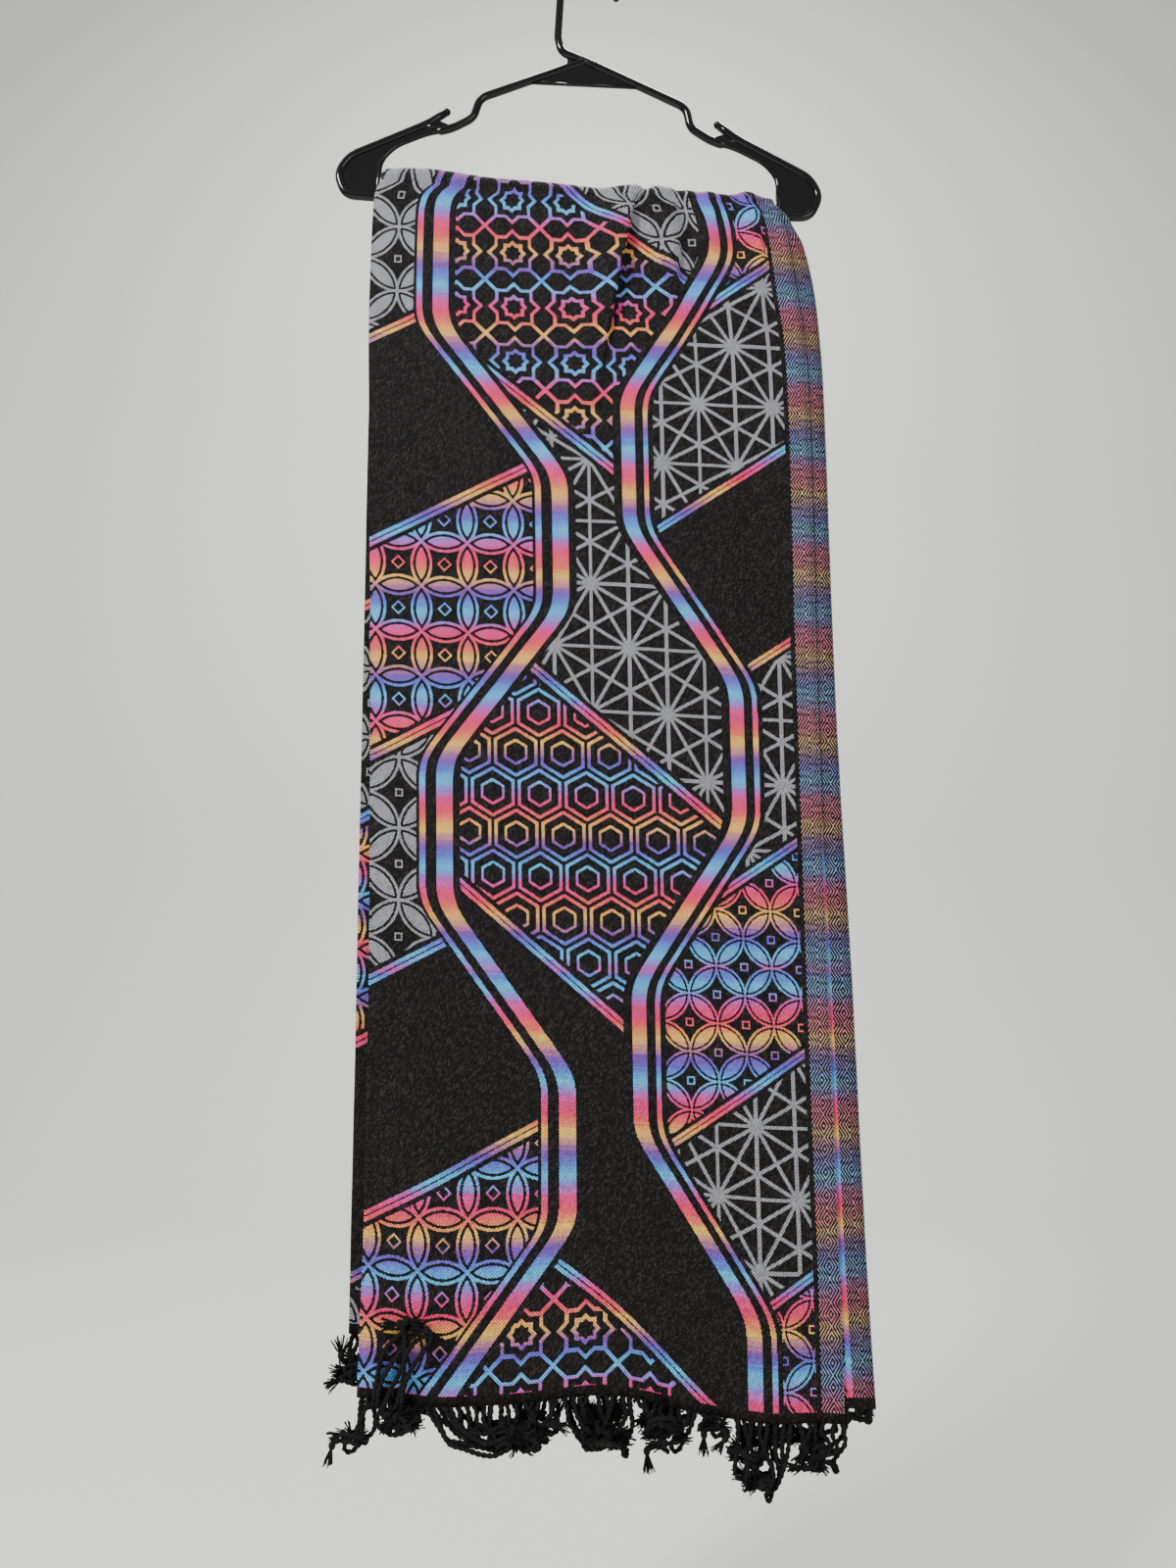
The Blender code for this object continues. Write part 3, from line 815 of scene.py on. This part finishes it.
def motif_fillings(u, v):
    """The geometric fillings of the panels, as masks over the whole cloth."""
    comb = honeycomb(u, v, COMB_PITCH)
    comb_lines = abs(comb - COMB_OUTER) * COMB_PITCH < 1.2
    leaves = petals(u + v, u - v, LEAF_PITCH, 1.4)
    return {
        "stars": eight_point(u, v, STAR_PITCH) < LINE_HALF,
        "combs": comb_lines.most(abs(comb - COMB_INNER) * COMB_PITCH < 1.0),
        "rings": petals(u, v, RING_PITCH, 1.1),
        "side rings": petals(u + v, u - v, SIDE_RING_PITCH, 1.1),
        "rays": star_rays(u, v, RAY_SIDE) < LINE_HALF,
        "leaves": leaves,
        "high leaves": leaves * (v > LEAVES_START),
    }


def motif_masks(u, v, middle):
    """Where the coloured and the grey wefts float on the face: a generic panelled pattern."""
    colour = grey = v * 0.0
    away = []
    for band in (INNER_BAND, OUTER_BAND):
        apart = middle - (band.middle + band.swing * zigzag(v, BAND_PITCH, band.shift))
        colour = colour.most(abs(apart) < band.half).most(abs(apart - band.line_at) < band.line_half)
        away.append(apart)
    in_core = away[0] < -CORE_GAP
    in_field = (away[0] > FIELD_GAP) * (away[1] < -FIELD_GAP)
    in_side = (away[1] > SIDE_GAP) * (middle < SIDE_END)

    fillings = motif_fillings(u, v)
    for zone, row in ((in_core, CORE), (in_field, FIELD), (in_side, SIDE)):
        slanted = v + middle * row.slant + row.start
        kinds = len(row.fillings)
        kind = ((slanted / row.pitch).whole() / kinds).fraction() * kinds
        line = from_line(slanted, row.pitch) * row.line_pitch
        colour = colour.most(zone * (abs(line - PANEL_LINE) < PANEL_LINE_HALF))
        inside = zone * (line > PANEL_MARGIN)
        for number, name in enumerate(row.fillings):
            if name:
                panel = inside * (abs(kind - number) < 0.5) * fillings[name]
                if name in GREY_FILLINGS:
                    grey = grey.most(panel)
                else:
                    colour = colour.most(panel)
    return colour, grey


def border_mask(edge, along, filled):
    """Diamond twill along each selvedge: fine nested diamonds, taller than wide."""
    diamond = from_middle(along, DIAMOND) * (DIAMOND * DIAMOND_SLANT) + abs(edge - DIAMOND_MIDDLE)
    return (diamond / DIAMOND_LINE).fraction() < filled


def weft_colours(board, v, edge, along, sizes):
    """The run of the weft's colours, which starts anew where one spool follows another."""
    over = ((FRONT_HEM * MM - along) / OVER_BAR).most(-1.0).least(1.0)
    level = along + edge * over * math.tan(TILT) + (board.fleck(v) - 0.5) * THREAD_SHIFT
    spool_end = sizes.spool_end * MM
    upper = (level - (spool_end + UPPER_START)) / (sizes.upper_repeat * MM)
    lower = (level - (spool_end - LOWER_START)) / (sizes.lower_repeat * MM)
    is_upper = level > spool_end
    phase = upper * is_upper + lower * (1.0 - is_upper)
    return board.ramp((phase * -1.0).fraction(), RAINBOW)


def cloth_material(name, reverse, sizes, colours):
    """The jacquard's face, or its reverse, where the colour floats fill the ground."""
    board = Board(name)
    u, v, across, along = cloth_places(board)
    half_width = 0.5 * CLOTH_WIDTH * MM
    middle = abs(u - half_width)
    edge = half_width - abs(half_width - across)
    on_border = middle > half_width - BORDER
    off_header = (along > HEADER * MM) * (along < (CLOTH_LENGTH - HEADER) * MM)

    colour, grey = motif_masks(u, v, middle)
    if reverse:
        colour = 1.0 - colour.most(grey)
        grey = grey * 0.0
    # The inner layer's border is darker through less colour fill: painted shade of the outer layer over
    # it
    border = border_mask(edge, along, BORDER_FILL - (u > half_width) * INNER_BORDER_PAINTED_SHADE)
    colour = (colour * (1.0 - on_border) + border * on_border) * off_header
    stitches = (edge < STITCH_DEPTH) * ((along / STITCH).fraction() < STITCH_FILL)
    grey = (grey * (1.0 - on_border)).most(stitches) * off_header

    dash = ((across + along * (1.0 - colour * 2.0)) / DASH).fraction() > 0.33
    rib = ((across + along) / TWILL).fraction() > 0.5
    cell = (across / FLECK_ACROSS).whole() * 17.31 + ((across + along) / FLECK_ALONG).whole() * 0.371
    fleck = board.fleck(cell)
    wear = board.noise(38.0, 3.0) * 0.30 + board.noise(1100.0, 1.0) * 0.70 + 0.50
    thread_tone = (0.24 + 0.80 * dash) * (0.76 + 0.48 * fleck) * wear
    ground_tone = (0.55 + 1.1 * rib) * (0.25 + 3.0 * fleck * fleck * fleck) * wear

    pale = srgb(colours.grey)
    rainbow = weft_colours(board, v, edge, along, sizes)
    rainbow = board.mix(PALE_SHARE + on_border * BORDER_GREY, rainbow, pale)
    ground = board.scaled(srgb(colours.ground), ground_tone)
    surface = board.mix(colour, ground, board.scaled(rainbow, thread_tone))
    surface = board.mix(grey, surface, board.scaled(pale, thread_tone))
    floats = colour.most(grey)
    board.surface(surface, 0.86 - floats * 0.20, 0.2)
    twill = ((across + along) * (2.0 * math.pi / TWILL)).math("SINE") * 0.5 + 0.5
    board.bump(twill * 0.6 + floats * 0.7, 0.00022, 0.55)
    return board.material


def yarn_material(colours):
    """Matt black cotton with a faint unevenness."""
    board = Board("Fringe yarn")
    fleck = board.noise(900.0, 4.0)
    low, high = srgb(colours.yarn), srgb([c * 1.7 for c in colours.yarn])
    board.surface(board.mix(fleck, low, high), fleck * 0.15 + 0.75, 0.25)
    board.bump(fleck, 0.0003, 0.5)
    return board.material


def plastic_material(colours):
    """Glossy black moulding with a little orange peel and dust."""
    board = Board("Hanger plastic")
    peel = board.noise(260.0, 2.0)
    dust = board.noise(35.0, 5.0)
    base = srgb(colours.plastic)
    dusty = srgb([c + 0.03 for c in colours.plastic])
    board.surface(board.mix(dust * 0.5, base, dusty), dust * 0.12 + 0.06, 0.36)
    board.bump(peel, 0.0002, 0.12)
    return board.material


class ShawlSizes(bpy.types.PropertyGroup):
    """Sizes that a user may change."""

    wall: FloatProperty(
        name="Wall", description="Thickness of the cloth", default=0.0009, unit="LENGTH"
    )
    cords: IntProperty(
        name="Cords", description="Cords in each of the four fringed edges", default=60, min=4
    )
    ply: FloatProperty(
        name="Ply", description="Radius of a cord's wide side", default=0.0021, unit="LENGTH"
    )
    twist: FloatProperty(
        name="Twist", description="Length of one turn of a cord", default=0.0085, unit="LENGTH"
    )
    swing: FloatProperty(
        name="Swing", description="How far a cord curls sideways", default=0.0078, unit="LENGTH"
    )
    web: FloatProperty(
        name="Web", description="Thickness of the hanger's webs", default=0.0022, unit="LENGTH"
    )
    upper_repeat: FloatProperty(
        name="Upper repeat",
        description="One run through the weft's colours above the spool's end",
        default=0.0654,
        unit="LENGTH",
    )
    lower_repeat: FloatProperty(
        name="Lower repeat",
        description="One run through the weft's colours below the spool's end",
        default=0.0680,
        unit="LENGTH",
    )
    spool_end: FloatProperty(
        name="Spool's end",
        description="Height above the front hem where one spool follows another",
        default=0.315,
        unit="LENGTH",
    )


class ShawlColours(bpy.types.PropertyGroup):
    """Colours that a user may change, in sRGB."""

    ground: FloatVectorProperty(
        name="Ground",
        description="Charcoal ground of the cloth",
        default=(0.076, 0.067, 0.065),
        subtype="COLOR",
    )
    grey: FloatVectorProperty(
        name="Grey weft",
        description="Grey of the silver linework",
        default=(0.57, 0.57, 0.59),
        subtype="COLOR",
    )
    yarn: FloatVectorProperty(
        name="Fringe", description="Black of the fringe", default=(0.018, 0.017, 0.018), subtype="COLOR"
    )
    plastic: FloatVectorProperty(
        name="Hanger", description="Black of the hanger", default=(0.022, 0.022, 0.024), subtype="COLOR"
    )
    backdrop: FloatVectorProperty(
        name="Backdrop",
        description="Pale floor and backdrop",
        default=(0.86, 0.86, 0.84),
        subtype="COLOR",
    )


def cloth_surface():
    """The sheet between the wall's two faces, with its flat places as a UV map."""
    rows = [cloth_row(station) for station in cloth_stations()]
    bm = bmesh.new()
    grid = [[bm.verts.new(point) for point, _ in row] for row in rows]
    flat = bm.loops.layers.uv.new("flat")
    for i in range(len(rows) - 1):
        for j in range(len(rows[0]) - 1):
            corners = ((i, j), (i + 1, j), (i + 1, j + 1), (i, j + 1))
            face = bm.faces.new([grid[a][b] for a, b in corners])
            face.smooth = True
            for loop, (a, b) in zip(face.loops, corners):
                across, along = rows[a][b][1]
                loop[flat].uv = (across / CLOTH_WIDTH, along / CLOTH_LENGTH)
    return link_mesh("shawl_cloth", bm)


class SHAWL_OT_cloth(bpy.types.Operator):
    """Builds the folded and draped cloth"""

    bl_idname = "shawl.cloth"
    bl_label = "Cloth"

    def execute(self, context):
        sizes, colours = context.scene.shawl_sizes, context.scene.shawl_colours
        cloth = cloth_surface()
        cloth.data.materials.append(cloth_material("Jacquard face", False, sizes, colours))
        cloth.data.materials.append(cloth_material("Jacquard reverse", True, sizes, colours))
        wall = cloth.modifiers.new("Wall", "SOLIDIFY")
        wall.thickness = sizes.wall
        wall.offset = 0.0
        wall.material_offset = 1
        cloth = applied(cloth)
        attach(cloth, BODY)
        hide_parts("shawl_front", "shawl_over_bar", "shawl_back")
        return {"FINISHED"}


class Tree:
    """A Geometry Nodes tree built in code."""

    def __init__(self, name):
        self.group = bpy.data.node_groups.new(name, "GeometryNodeTree")
        for in_out in ("INPUT", "OUTPUT"):
            self.group.interface.new_socket("Geometry", in_out=in_out, socket_type="NodeSocketGeometry")
        self.start = self.group.nodes.new("NodeGroupInput")
        self.end = self.group.nodes.new("NodeGroupOutput")

    def size(self, name, default):
        made = self.group.interface.new_socket(name, in_out="INPUT", socket_type="NodeSocketFloat")
        made.default_value = default
        return self.start.outputs[name]

    def feed(self, socket, value):
        """A node stands for its first output."""
        if isinstance(value, bpy.types.Node):
            value = value.outputs[0]
        if isinstance(value, bpy.types.NodeSocket):
            self.group.links.new(value, socket)
        else:
            socket.default_value = value

    def node(self, kind, inputs=None, **settings):
        made = self.group.nodes.new(kind)
        for name, value in settings.items():
            setattr(made, name, value)
        for name, value in (inputs or {}).items():
            self.feed(made.inputs[name], value)
        return made

    def math(self, operation, first, second):
        return self.node("ShaderNodeMath", {0: first, 1: second}, operation=operation)

    def join(self, *parts):
        made = self.group.nodes.new("GeometryNodeJoinGeometry")
        for part in parts:
            self.feed(made.inputs[0], part)
        return made


def cord_tree(material, sizes):
    """Twisted cords along the guide curves, each ending in a knot and a frayed tuft."""
    tree = Tree("Knotted cords")
    ply = tree.size("Ply", sizes.ply)
    twist = tree.size("Twist", sizes.twist)
    knot_size = tree.size("Knot", KNOT_RADIUS)
    step = tree.size("Step", CORD_STEP)
    guides = tree.node("GeometryNodeResampleCurve", {"Curve": tree.start, "Length": step}, mode="LENGTH")
    along = tree.node("GeometryNodeSplineParameter").outputs["Length"]
    turns = tree.math("MULTIPLY", tree.math("DIVIDE", along, twist), 2.0 * math.pi)
    tilted = tree.node("GeometryNodeSetCurveTilt", {"Curve": guides, "Tilt": turns})
    ring = tree.node("GeometryNodeCurvePrimitiveCircle", {"Resolution": 8, "Radius": ply})
    flatter = tree.node("GeometryNodeTransform", {"Geometry": ring, "Scale": (1.0, CORD_FLATNESS, 1.0)})
    inputs = {"Curve": tilted, "Profile Curve": flatter, "Fill Caps": True}
    cords = tree.node("GeometryNodeCurveToMesh", inputs)

    ends = tree.node("GeometryNodeCurveEndpointSelection", {"Start Size": 0, "End Size": 1})
    ball = tree.node("GeometryNodeMeshIcoSphere", {"Radius": knot_size, "Subdivisions": 2})
    inputs = {"Points": guides, "Selection": ends, "Instance": ball, "Scale": (1.0, 0.9, 1.25)}
    knots = tree.node("GeometryNodeInstanceOnPoints", inputs)

    kept = tree.group.nodes.new("GeometryNodeCaptureAttribute")
    kept.capture_items.new("VECTOR", "Heading")
    tree.feed(kept.inputs["Geometry"], guides)
    tree.feed(kept.inputs["Heading"], tree.node("GeometryNodeInputTangent"))
    inputs = {"Geometry": kept, "Selection": ends, "Amount": TUFT_FIBRES}
    copies = tree.node("GeometryNodeDuplicateElements", inputs, domain="POINT")
    inputs = {"Min": (-0.40, -0.18, -0.80), "Max": (0.40, 0.18, -0.05), "Seed": SEED}
    spread = tree.node("FunctionNodeRandomValue", inputs, data_type="FLOAT_VECTOR")
    aim = tree.node("ShaderNodeVectorMath", {0: kept.outputs["Heading"], 1: spread}, operation="ADD")
    turned = tree.node("FunctionNodeAlignRotationToVector", {"Vector": aim}, axis="Z")
    inputs = {2: 0.55, 3: 1.15, "Seed": SEED}
    length = tree.node("FunctionNodeRandomValue", inputs, data_type="FLOAT").outputs[1]
    inputs = {"Start": (0.0, 0.0, 0.0), "End": (0.0004, 0.0, TUFT_LENGTH)}
    hair = tree.node("GeometryNodeCurvePrimitiveLine", inputs)
    thin = tree.node("GeometryNodeCurvePrimitiveCircle", {"Resolution": 3, "Radius": FIBRE_RADIUS})
    inputs = {"Curve": hair, "Profile Curve": thin, "Fill Caps": True}
    fibre = tree.node("GeometryNodeCurveToMesh", inputs)
    inputs = {"Points": copies, "Instance": fibre, "Rotation": turned, "Scale": length}
    tufts = tree.node("GeometryNodeInstanceOnPoints", inputs)

    real = tree.node("GeometryNodeRealizeInstances", {"Geometry": tree.join(cords, knots, tufts)})
    smooth = tree.node("GeometryNodeSetShadeSmooth", {"Geometry": real})
    painted = tree.node("GeometryNodeSetMaterial", {"Geometry": smooth, "Material": material})
    tree.feed(tree.end.inputs[0], painted)
    return tree.group


def bezier(points, share):
    """The point at this share of a Bezier curve."""
    while len(points) > 1:
        points = [low.lerp(high, share) for low, high in zip(points, points[1:])]
    return points[0]


def cord_guide(side, layer, root, bunch, rng, swing):
    """One cord: down from the hem, swept to its bunch's gathering point, with curls on the way."""
    away = side if layer == "outer" else -side
    depth = away * (FIRST_LANE + rng.choice(LANES) * LANE_GAPS[layer])
    drop = max(bunch.reach * rng.uniform(SHORTEST_SHARE, 1.0) - TUFT_LENGTH, SHORTEST_DROP)
    gather_x = bunch.gather + rng.uniform(-GATHER_SPREAD, GATHER_SPREAD)
    gather = Vector((gather_x, root.y + depth, root.z - drop))
    sideways = gather.x - root.x
    sag = root + Vector((SAG_SHIFT * sideways, depth, -SAG_DEPTH * drop))
    back = gather + Vector((-RETURN_SHIFT * sideways, 0.0, -RETURN_DEPTH * drop))
    phase = 2.0 * math.pi * rng.random()
    turns = 2.0 * math.pi * rng.uniform(*CURL_TURNS) * rng.choice((-1.0, 1.0))
    wide = swing * rng.uniform(0.5, 1.0) * max(1.0 - abs(sideways) / CURL_FADE, LEAST_CURL)
    points = []
    for i in range(GUIDE_POINTS):
        share = i / (GUIDE_POINTS - 1)
        place = bezier([root, sag, back, gather], share)
        grow = wide * share**CURL_GROWTH
        place.x += grow * (math.sin(phase + turns * share) - math.sin(phase))
        limit = max(blend(root.x, CORNER_END, share), CORNER_END)
        place.x -= CORNER_SQUEEZE * max(place.x - limit, 0.0)
        place.y += away * CURL_DEPTH * math.sin(phase + 1.9 * turns * share) * share
        place.z += CURL_HEIGHT * grow * (math.cos(phase + turns * share) - math.cos(phase))
        place.z = min(place.z, root.z - 0.001 - 0.004 * share)
        points.append(place)
    return points


def flipped_guides():
    """Cords thrown up over the front's lower left corner, where they lie on the cloth."""
    guides = []
    for i in range(FLIPPED_CORDS):
        hem = Station(FRONT_ANGLE, FRONT_HEM - 0.002)
        x = FLIPPED_START + FLIPPED_GAP * i
        points = [placed("outer", x, outward("outer", x, hem), hem)]
        rise = FLIPPED_RISE + 0.004 * (i % 3)
        for j in range(1, GUIDE_POINTS):
            share = j / (GUIDE_POINTS - 1)
            sag = FLIPPED_SAG * math.sin(math.pi * min(share * 3.0, 1.0))
            curl = FLIPPED_CURL * math.sin(2.0 * math.pi * (share * 1.3 + 0.3 * i)) * share
            here = x + FLIPPED_LEAN * ease(share) + curl
            station = Station(FRONT_ANGLE, FRONT_HEM + sag - rise * ease(share * 1.1 - 0.1))
            stand = FLIPPED_STAND + 0.0016 * i * ease(share * 2.0)
            points.append(placed("outer", here, outward("outer", here, station) + stand, station))
        guides.append(points)
    return guides


def fringe_guides(side, layer, sizes):
    rng = random.Random(SEED + 7 * side + (3 if layer == "outer" else 0))
    hem = Station(FRONT_ANGLE, FRONT_HEM) if side == FRONT else Station(BACK_ANGLE, BACK_HEM)
    start = edge_x("fold", hem) + fold_radius(hem)
    end = edge_x(layer, hem)
    bunches = FRONT_BUNCHES if side == FRONT else BACK_BUNCHES
    guides = []
    for i in range(sizes.cords):
        x = blend(start, end, (i + 0.5 + rng.uniform(-0.3, 0.3)) / sizes.cords)
        bunch = next(b for b in bunches if x < b.end)
        root = placed(layer, x, outward(layer, x, hem), hem)
        root.z += ROOT_LIFT
        guides.append(cord_guide(side, layer, root, bunch, rng, sizes.swing))
    if side == FRONT and layer == "outer":
        guides += flipped_guides()
    return guides


def poly_curves(name, routes):
    """A curve with one spline of straight steps for each route."""
    curve = bpy.data.curves.new(name, "CURVE")
    curve.dimensions = "3D"
    for points in routes:
        spline = curve.splines.new("POLY")
        spline.points.add(len(points) - 1)
        for point, place in zip(spline.points, points):
            point.co = (*place, 1.0)
    return link_object(name, curve)


class SHAWL_OT_fringe(bpy.types.Operator):
    """Builds the four rows of knotted cords"""

    bl_idname = "shawl.fringe"
    bl_label = "Fringe"

    def execute(self, context):
        sizes, colours = context.scene.shawl_sizes, context.scene.shawl_colours
        group = cord_tree(yarn_material(colours), sizes)
        for side, word in ((FRONT, "front"), (BACK, "back")):
            for layer in ("outer", "inner"):
                name = f"cords_{word}_{layer}"
                cords = poly_curves(name, fringe_guides(side, layer, sizes))
                cords.modifiers.new("Cords", "NODES").node_group = group
                cords = applied(cords)
                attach(cords, BODY)
                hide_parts(f"fringe_{word}_{layer}")
        return {"FINISHED"}


def rounded(corners, steps=10):
    """Points of a route whose corners are turned on arcs. Each is x, z and the rod's radius."""
    points = []
    for i, here in enumerate(corners):
        if here.round == 0.0 or i in (0, len(corners) - 1):
            points.append((here.x, here.z, here.rod))
            continue
        before, after = corners[i - 1], corners[i + 1]
        into = math.hypot(here.x - before.x, here.z - before.z)
        out = math.hypot(after.x - here.x, after.z - here.z)
        cut = min(here.round * 0.7, 0.45 * into, 0.45 * out)
        first = (blend(here.x, before.x, cut / into), blend(here.z, before.z, cut / into))
        last = (blend(here.x, after.x, cut / out), blend(here.z, after.z, cut / out))
        for step in range(steps + 1):
            t = step / steps
            x = blend(blend(first[0], here.x, t), blend(here.x, last[0], t), t)
            z = blend(blend(first[1], here.z, t), blend(here.z, last[1], t), t)
            points.append((x, z, here.rod))
    return points


def mirrored(points):
    """A right half's points, then the left half's in reverse, with none given twice on the middle."""
    left = [(-x,) + tuple(rest) for x, *rest in reversed(points)]
    return points + [point for point in left if point[0] != 0.0]


def rod(name, points, cyclic):
    """A round rod. Each point is x, z and the rod's radius there."""
    made = poly_curves(name, [[(x, 0.0, z) for x, z, _ in points]])
    made.data.bevel_depth = RIM_ROD
    made.data.bevel_resolution = 5
    made.data.use_fill_caps = not cyclic
    spline = made.data.splines[0]
    for point, (_, _, radius) in zip(spline.points, points):
        point.radius = radius / RIM_ROD
    spline.use_cyclic_u = cyclic
    spline.use_smooth = True
    return applied(made)


def ball_end(name, place, radius):
    """A round end on a rod."""
    bm = bmesh.new()
    bmesh.ops.create_uvsphere(bm, u_segments=16, v_segments=10, radius=radius)
    bmesh.ops.translate(bm, vec=(place[0], 0.0, place[1]), verts=bm.verts)
    for face in bm.faces:
        face.smooth = True
    return link_mesh(name, bm)


def plate(name, outline, thickness):
    """A flat web between the rims."""
    bm = bmesh.new()
    face = bm.faces.new([bm.verts.new((x, -0.5 * thickness, z)) for x, z in outline])
    moved = bmesh.ops.extrude_face_region(bm, geom=[face])["geom"]
    verts = [item for item in moved if isinstance(item, bmesh.types.BMVert)]
    bmesh.ops.translate(bm, vec=(0.0, thickness, 0.0), verts=verts)
    bm.normal_update()
    bmesh.ops.triangulate(bm, faces=bm.faces)
    bmesh.ops.recalc_face_normals(bm, faces=bm.faces)
    return link_mesh(name, bm)


def hook_points():
    """The hook's route from its foot, round over the top to its tip."""
    points = list(reversed(rounded(HOOK_FOOT, 14)))
    for step in range(HOOK_STEPS + 1):
        turn = blend(math.pi, HOOK_END, step / HOOK_STEPS)
        x = HOOK_RADIUS * math.cos(turn)
        points.append((x, HOOK_CENTRE + HOOK_RADIUS * math.sin(turn), HOOK_ROD))
    return points


def joined(name, pieces):
    """One mesh from several objects, which are removed."""
    bm = bmesh.new()
    for piece in pieces:
        bm.from_mesh(piece.data)
        bpy.data.objects.remove(piece)
    bmesh.ops.remove_doubles(bm, verts=bm.verts, dist=0.000001)
    return link_mesh(name, bm)


class SHAWL_OT_hanger(bpy.types.Operator):
    """Builds the moulded hanger: round rims, thin webs and the hook"""

    bl_idname = "shawl.hanger"
    bl_label = "Hanger"

    def execute(self, context):
        sizes, colours = context.scene.shawl_sizes, context.scene.shawl_colours
        inner = [(x, z) for x, z, _ in rounded(OPENING_RIM) if x > WEB_INNER_START]
        outer = [(x, z) for x, z, _ in rounded(OUTER_RIM) if x > WEB_OUTER_START]
        web = inner + list(reversed(outer))
        low, high = OUTER_RIM[-1].z, OPENING_RIM[-1].z
        end = BAR_WEB_END
        bar_web = ((-end, high), (end, high), (end, low), (-end, low))
        notch = rounded(NOTCH_RIM)
        tip = OUTER_RIM[0]
        hook = hook_points()
        pieces = [
            rod("opening_rim", mirrored(rounded(OPENING_RIM)), True),
            rod("outer_rim", mirrored(rounded(OUTER_RIM)), False),
            rod("notch_right", notch, False),
            rod("notch_left", [(-x, z, radius) for x, z, radius in notch], False),
            rod("apex_rim", APEX_RIM, False),
            rod("hook", hook, False),
            ball_end("tip_right", (tip.x, tip.z), RIM_ROD),
            ball_end("tip_left", (-tip.x, tip.z), RIM_ROD),
            ball_end("hook_tip", hook[-1], HOOK_ROD),
            plate("right_web", web, sizes.web),
            plate("left_web", [(-x, z) for x, z in web], sizes.web),
            plate("bar_web", bar_web, sizes.web * BAR_WEB_SHARE),
            plate("apex_web", APEX_WEB, sizes.web * APEX_WEB_SHARE),
            plate("hook_web", HOOK_WEB, sizes.web * HOOK_WEB_SHARE),
        ]
        hanger = joined("hanger_moulding", pieces)
        lowered = Matrix.Translation((0.0, 0.0, APEX_HEIGHT))
        hanger.data.transform(Matrix.Rotation(TILT, 4, "Y") @ lowered)
        hanger.data.materials.clear()
        hanger.data.materials.append(plastic_material(colours))
        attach(hanger, BODY)
        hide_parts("hanger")
        return {"FINISHED"}


def area_light(lamp):
    """A round soft light, aimed at its target."""
    light = bpy.data.lights.new(lamp.name, "AREA")
    light.shape = "DISK"
    light.size = lamp.size
    light.energy = lamp.power
    made = link_object(lamp.name, light)
    made.location = lamp.place
    aim = Vector(lamp.target) - Vector(lamp.place)
    made.rotation_euler = aim.to_track_quat("-Z", "Y").to_euler()


def sweep():
    """A seamless backdrop: floor in front and below, curving up into a wall far behind."""
    profile = [(FLOOR_FRONT, FLOOR)]
    for step in range(SWEEP_STEPS + 1):
        turn = 0.5 * math.pi * step / SWEEP_STEPS
        y = WALL - SWEEP + SWEEP * math.sin(turn)
        profile.append((y, FLOOR + SWEEP - SWEEP * math.cos(turn)))
    profile.append((WALL, FLOOR + WALL_HEIGHT))
    bm = bmesh.new()
    rows = [[bm.verts.new((x, y, z)) for x in (-HALF_WIDTH, HALF_WIDTH)] for y, z in profile]
    for lower, upper in zip(rows, rows[1:]):
        bm.faces.new((lower[0], lower[1], upper[1], upper[0])).smooth = True
    return link_mesh("backdrop", bm)


class SHAWL_OT_stage(bpy.types.Operator):
    """Sets the backdrop, the soft lights and the photograph's camera"""

    bl_idname = "shawl.stage"
    bl_label = "Stage"

    def execute(self, context):
        colours = context.scene.shawl_colours
        backdrop = sweep()
        board = Board("Pale backdrop")
        board.surface(srgb(colours.backdrop), 0.95, 0.1)
        backdrop.data.materials.append(board.material)
        world = bpy.data.worlds.new("Soft room")
        context.scene.world = world
        world.use_nodes = True
        background = world.node_tree.nodes["Background"]
        background.inputs["Color"].default_value = ROOM_COLOUR
        background.inputs["Strength"].default_value = ROOM_LIGHT
        for lamp in LAMPS:
            area_light(lamp)
        camera = bpy.data.cameras.new("Photograph")
        camera.lens = LENS
        camera.sensor_width = SENSOR
        placed_camera = link_object("Photograph", camera)
        placed_camera.location = CAMERA_PLACE
        placed_camera.rotation_euler = (0.5 * math.pi + CAMERA_PITCH, 0.0, 0.0)
        context.scene.camera = placed_camera
        return {"FINISHED"}


class SHAWL_PT_panel(bpy.types.Panel):
    """Lists the shawl's steps"""

    bl_idname = "SHAWL_PT_panel"
    bl_label = "Shawl on Hanger"
    bl_space_type = "VIEW_3D"
    bl_region_type = "UI"
    bl_category = "Shawl"

    def draw(self, context):
        for operator in OPERATORS:
            self.layout.operator(operator.bl_idname)
        for group in (context.scene.shawl_sizes, context.scene.shawl_colours):
            for name in group.__annotations__:
                self.layout.prop(group, name)


OPERATORS = (SHAWL_OT_stage, SHAWL_OT_hanger, SHAWL_OT_cloth, SHAWL_OT_fringe)
CLASSES = (ShawlSizes, ShawlColours, *OPERATORS, SHAWL_PT_panel)


def register():
    for cls in CLASSES:
        bpy.utils.register_class(cls)
    bpy.types.Scene.shawl_sizes = PointerProperty(type=ShawlSizes)
    bpy.types.Scene.shawl_colours = PointerProperty(type=ShawlColours)


def unregister():
    del bpy.types.Scene.shawl_colours
    del bpy.types.Scene.shawl_sizes
    for cls in reversed(CLASSES):
        bpy.utils.unregister_class(cls)


def main():
    register()
    bpy.ops.shawl.stage()
    bpy.ops.shawl.hanger()
    bpy.ops.shawl.cloth()
    bpy.ops.shawl.fringe()


if __name__ == "__main__":
    main()
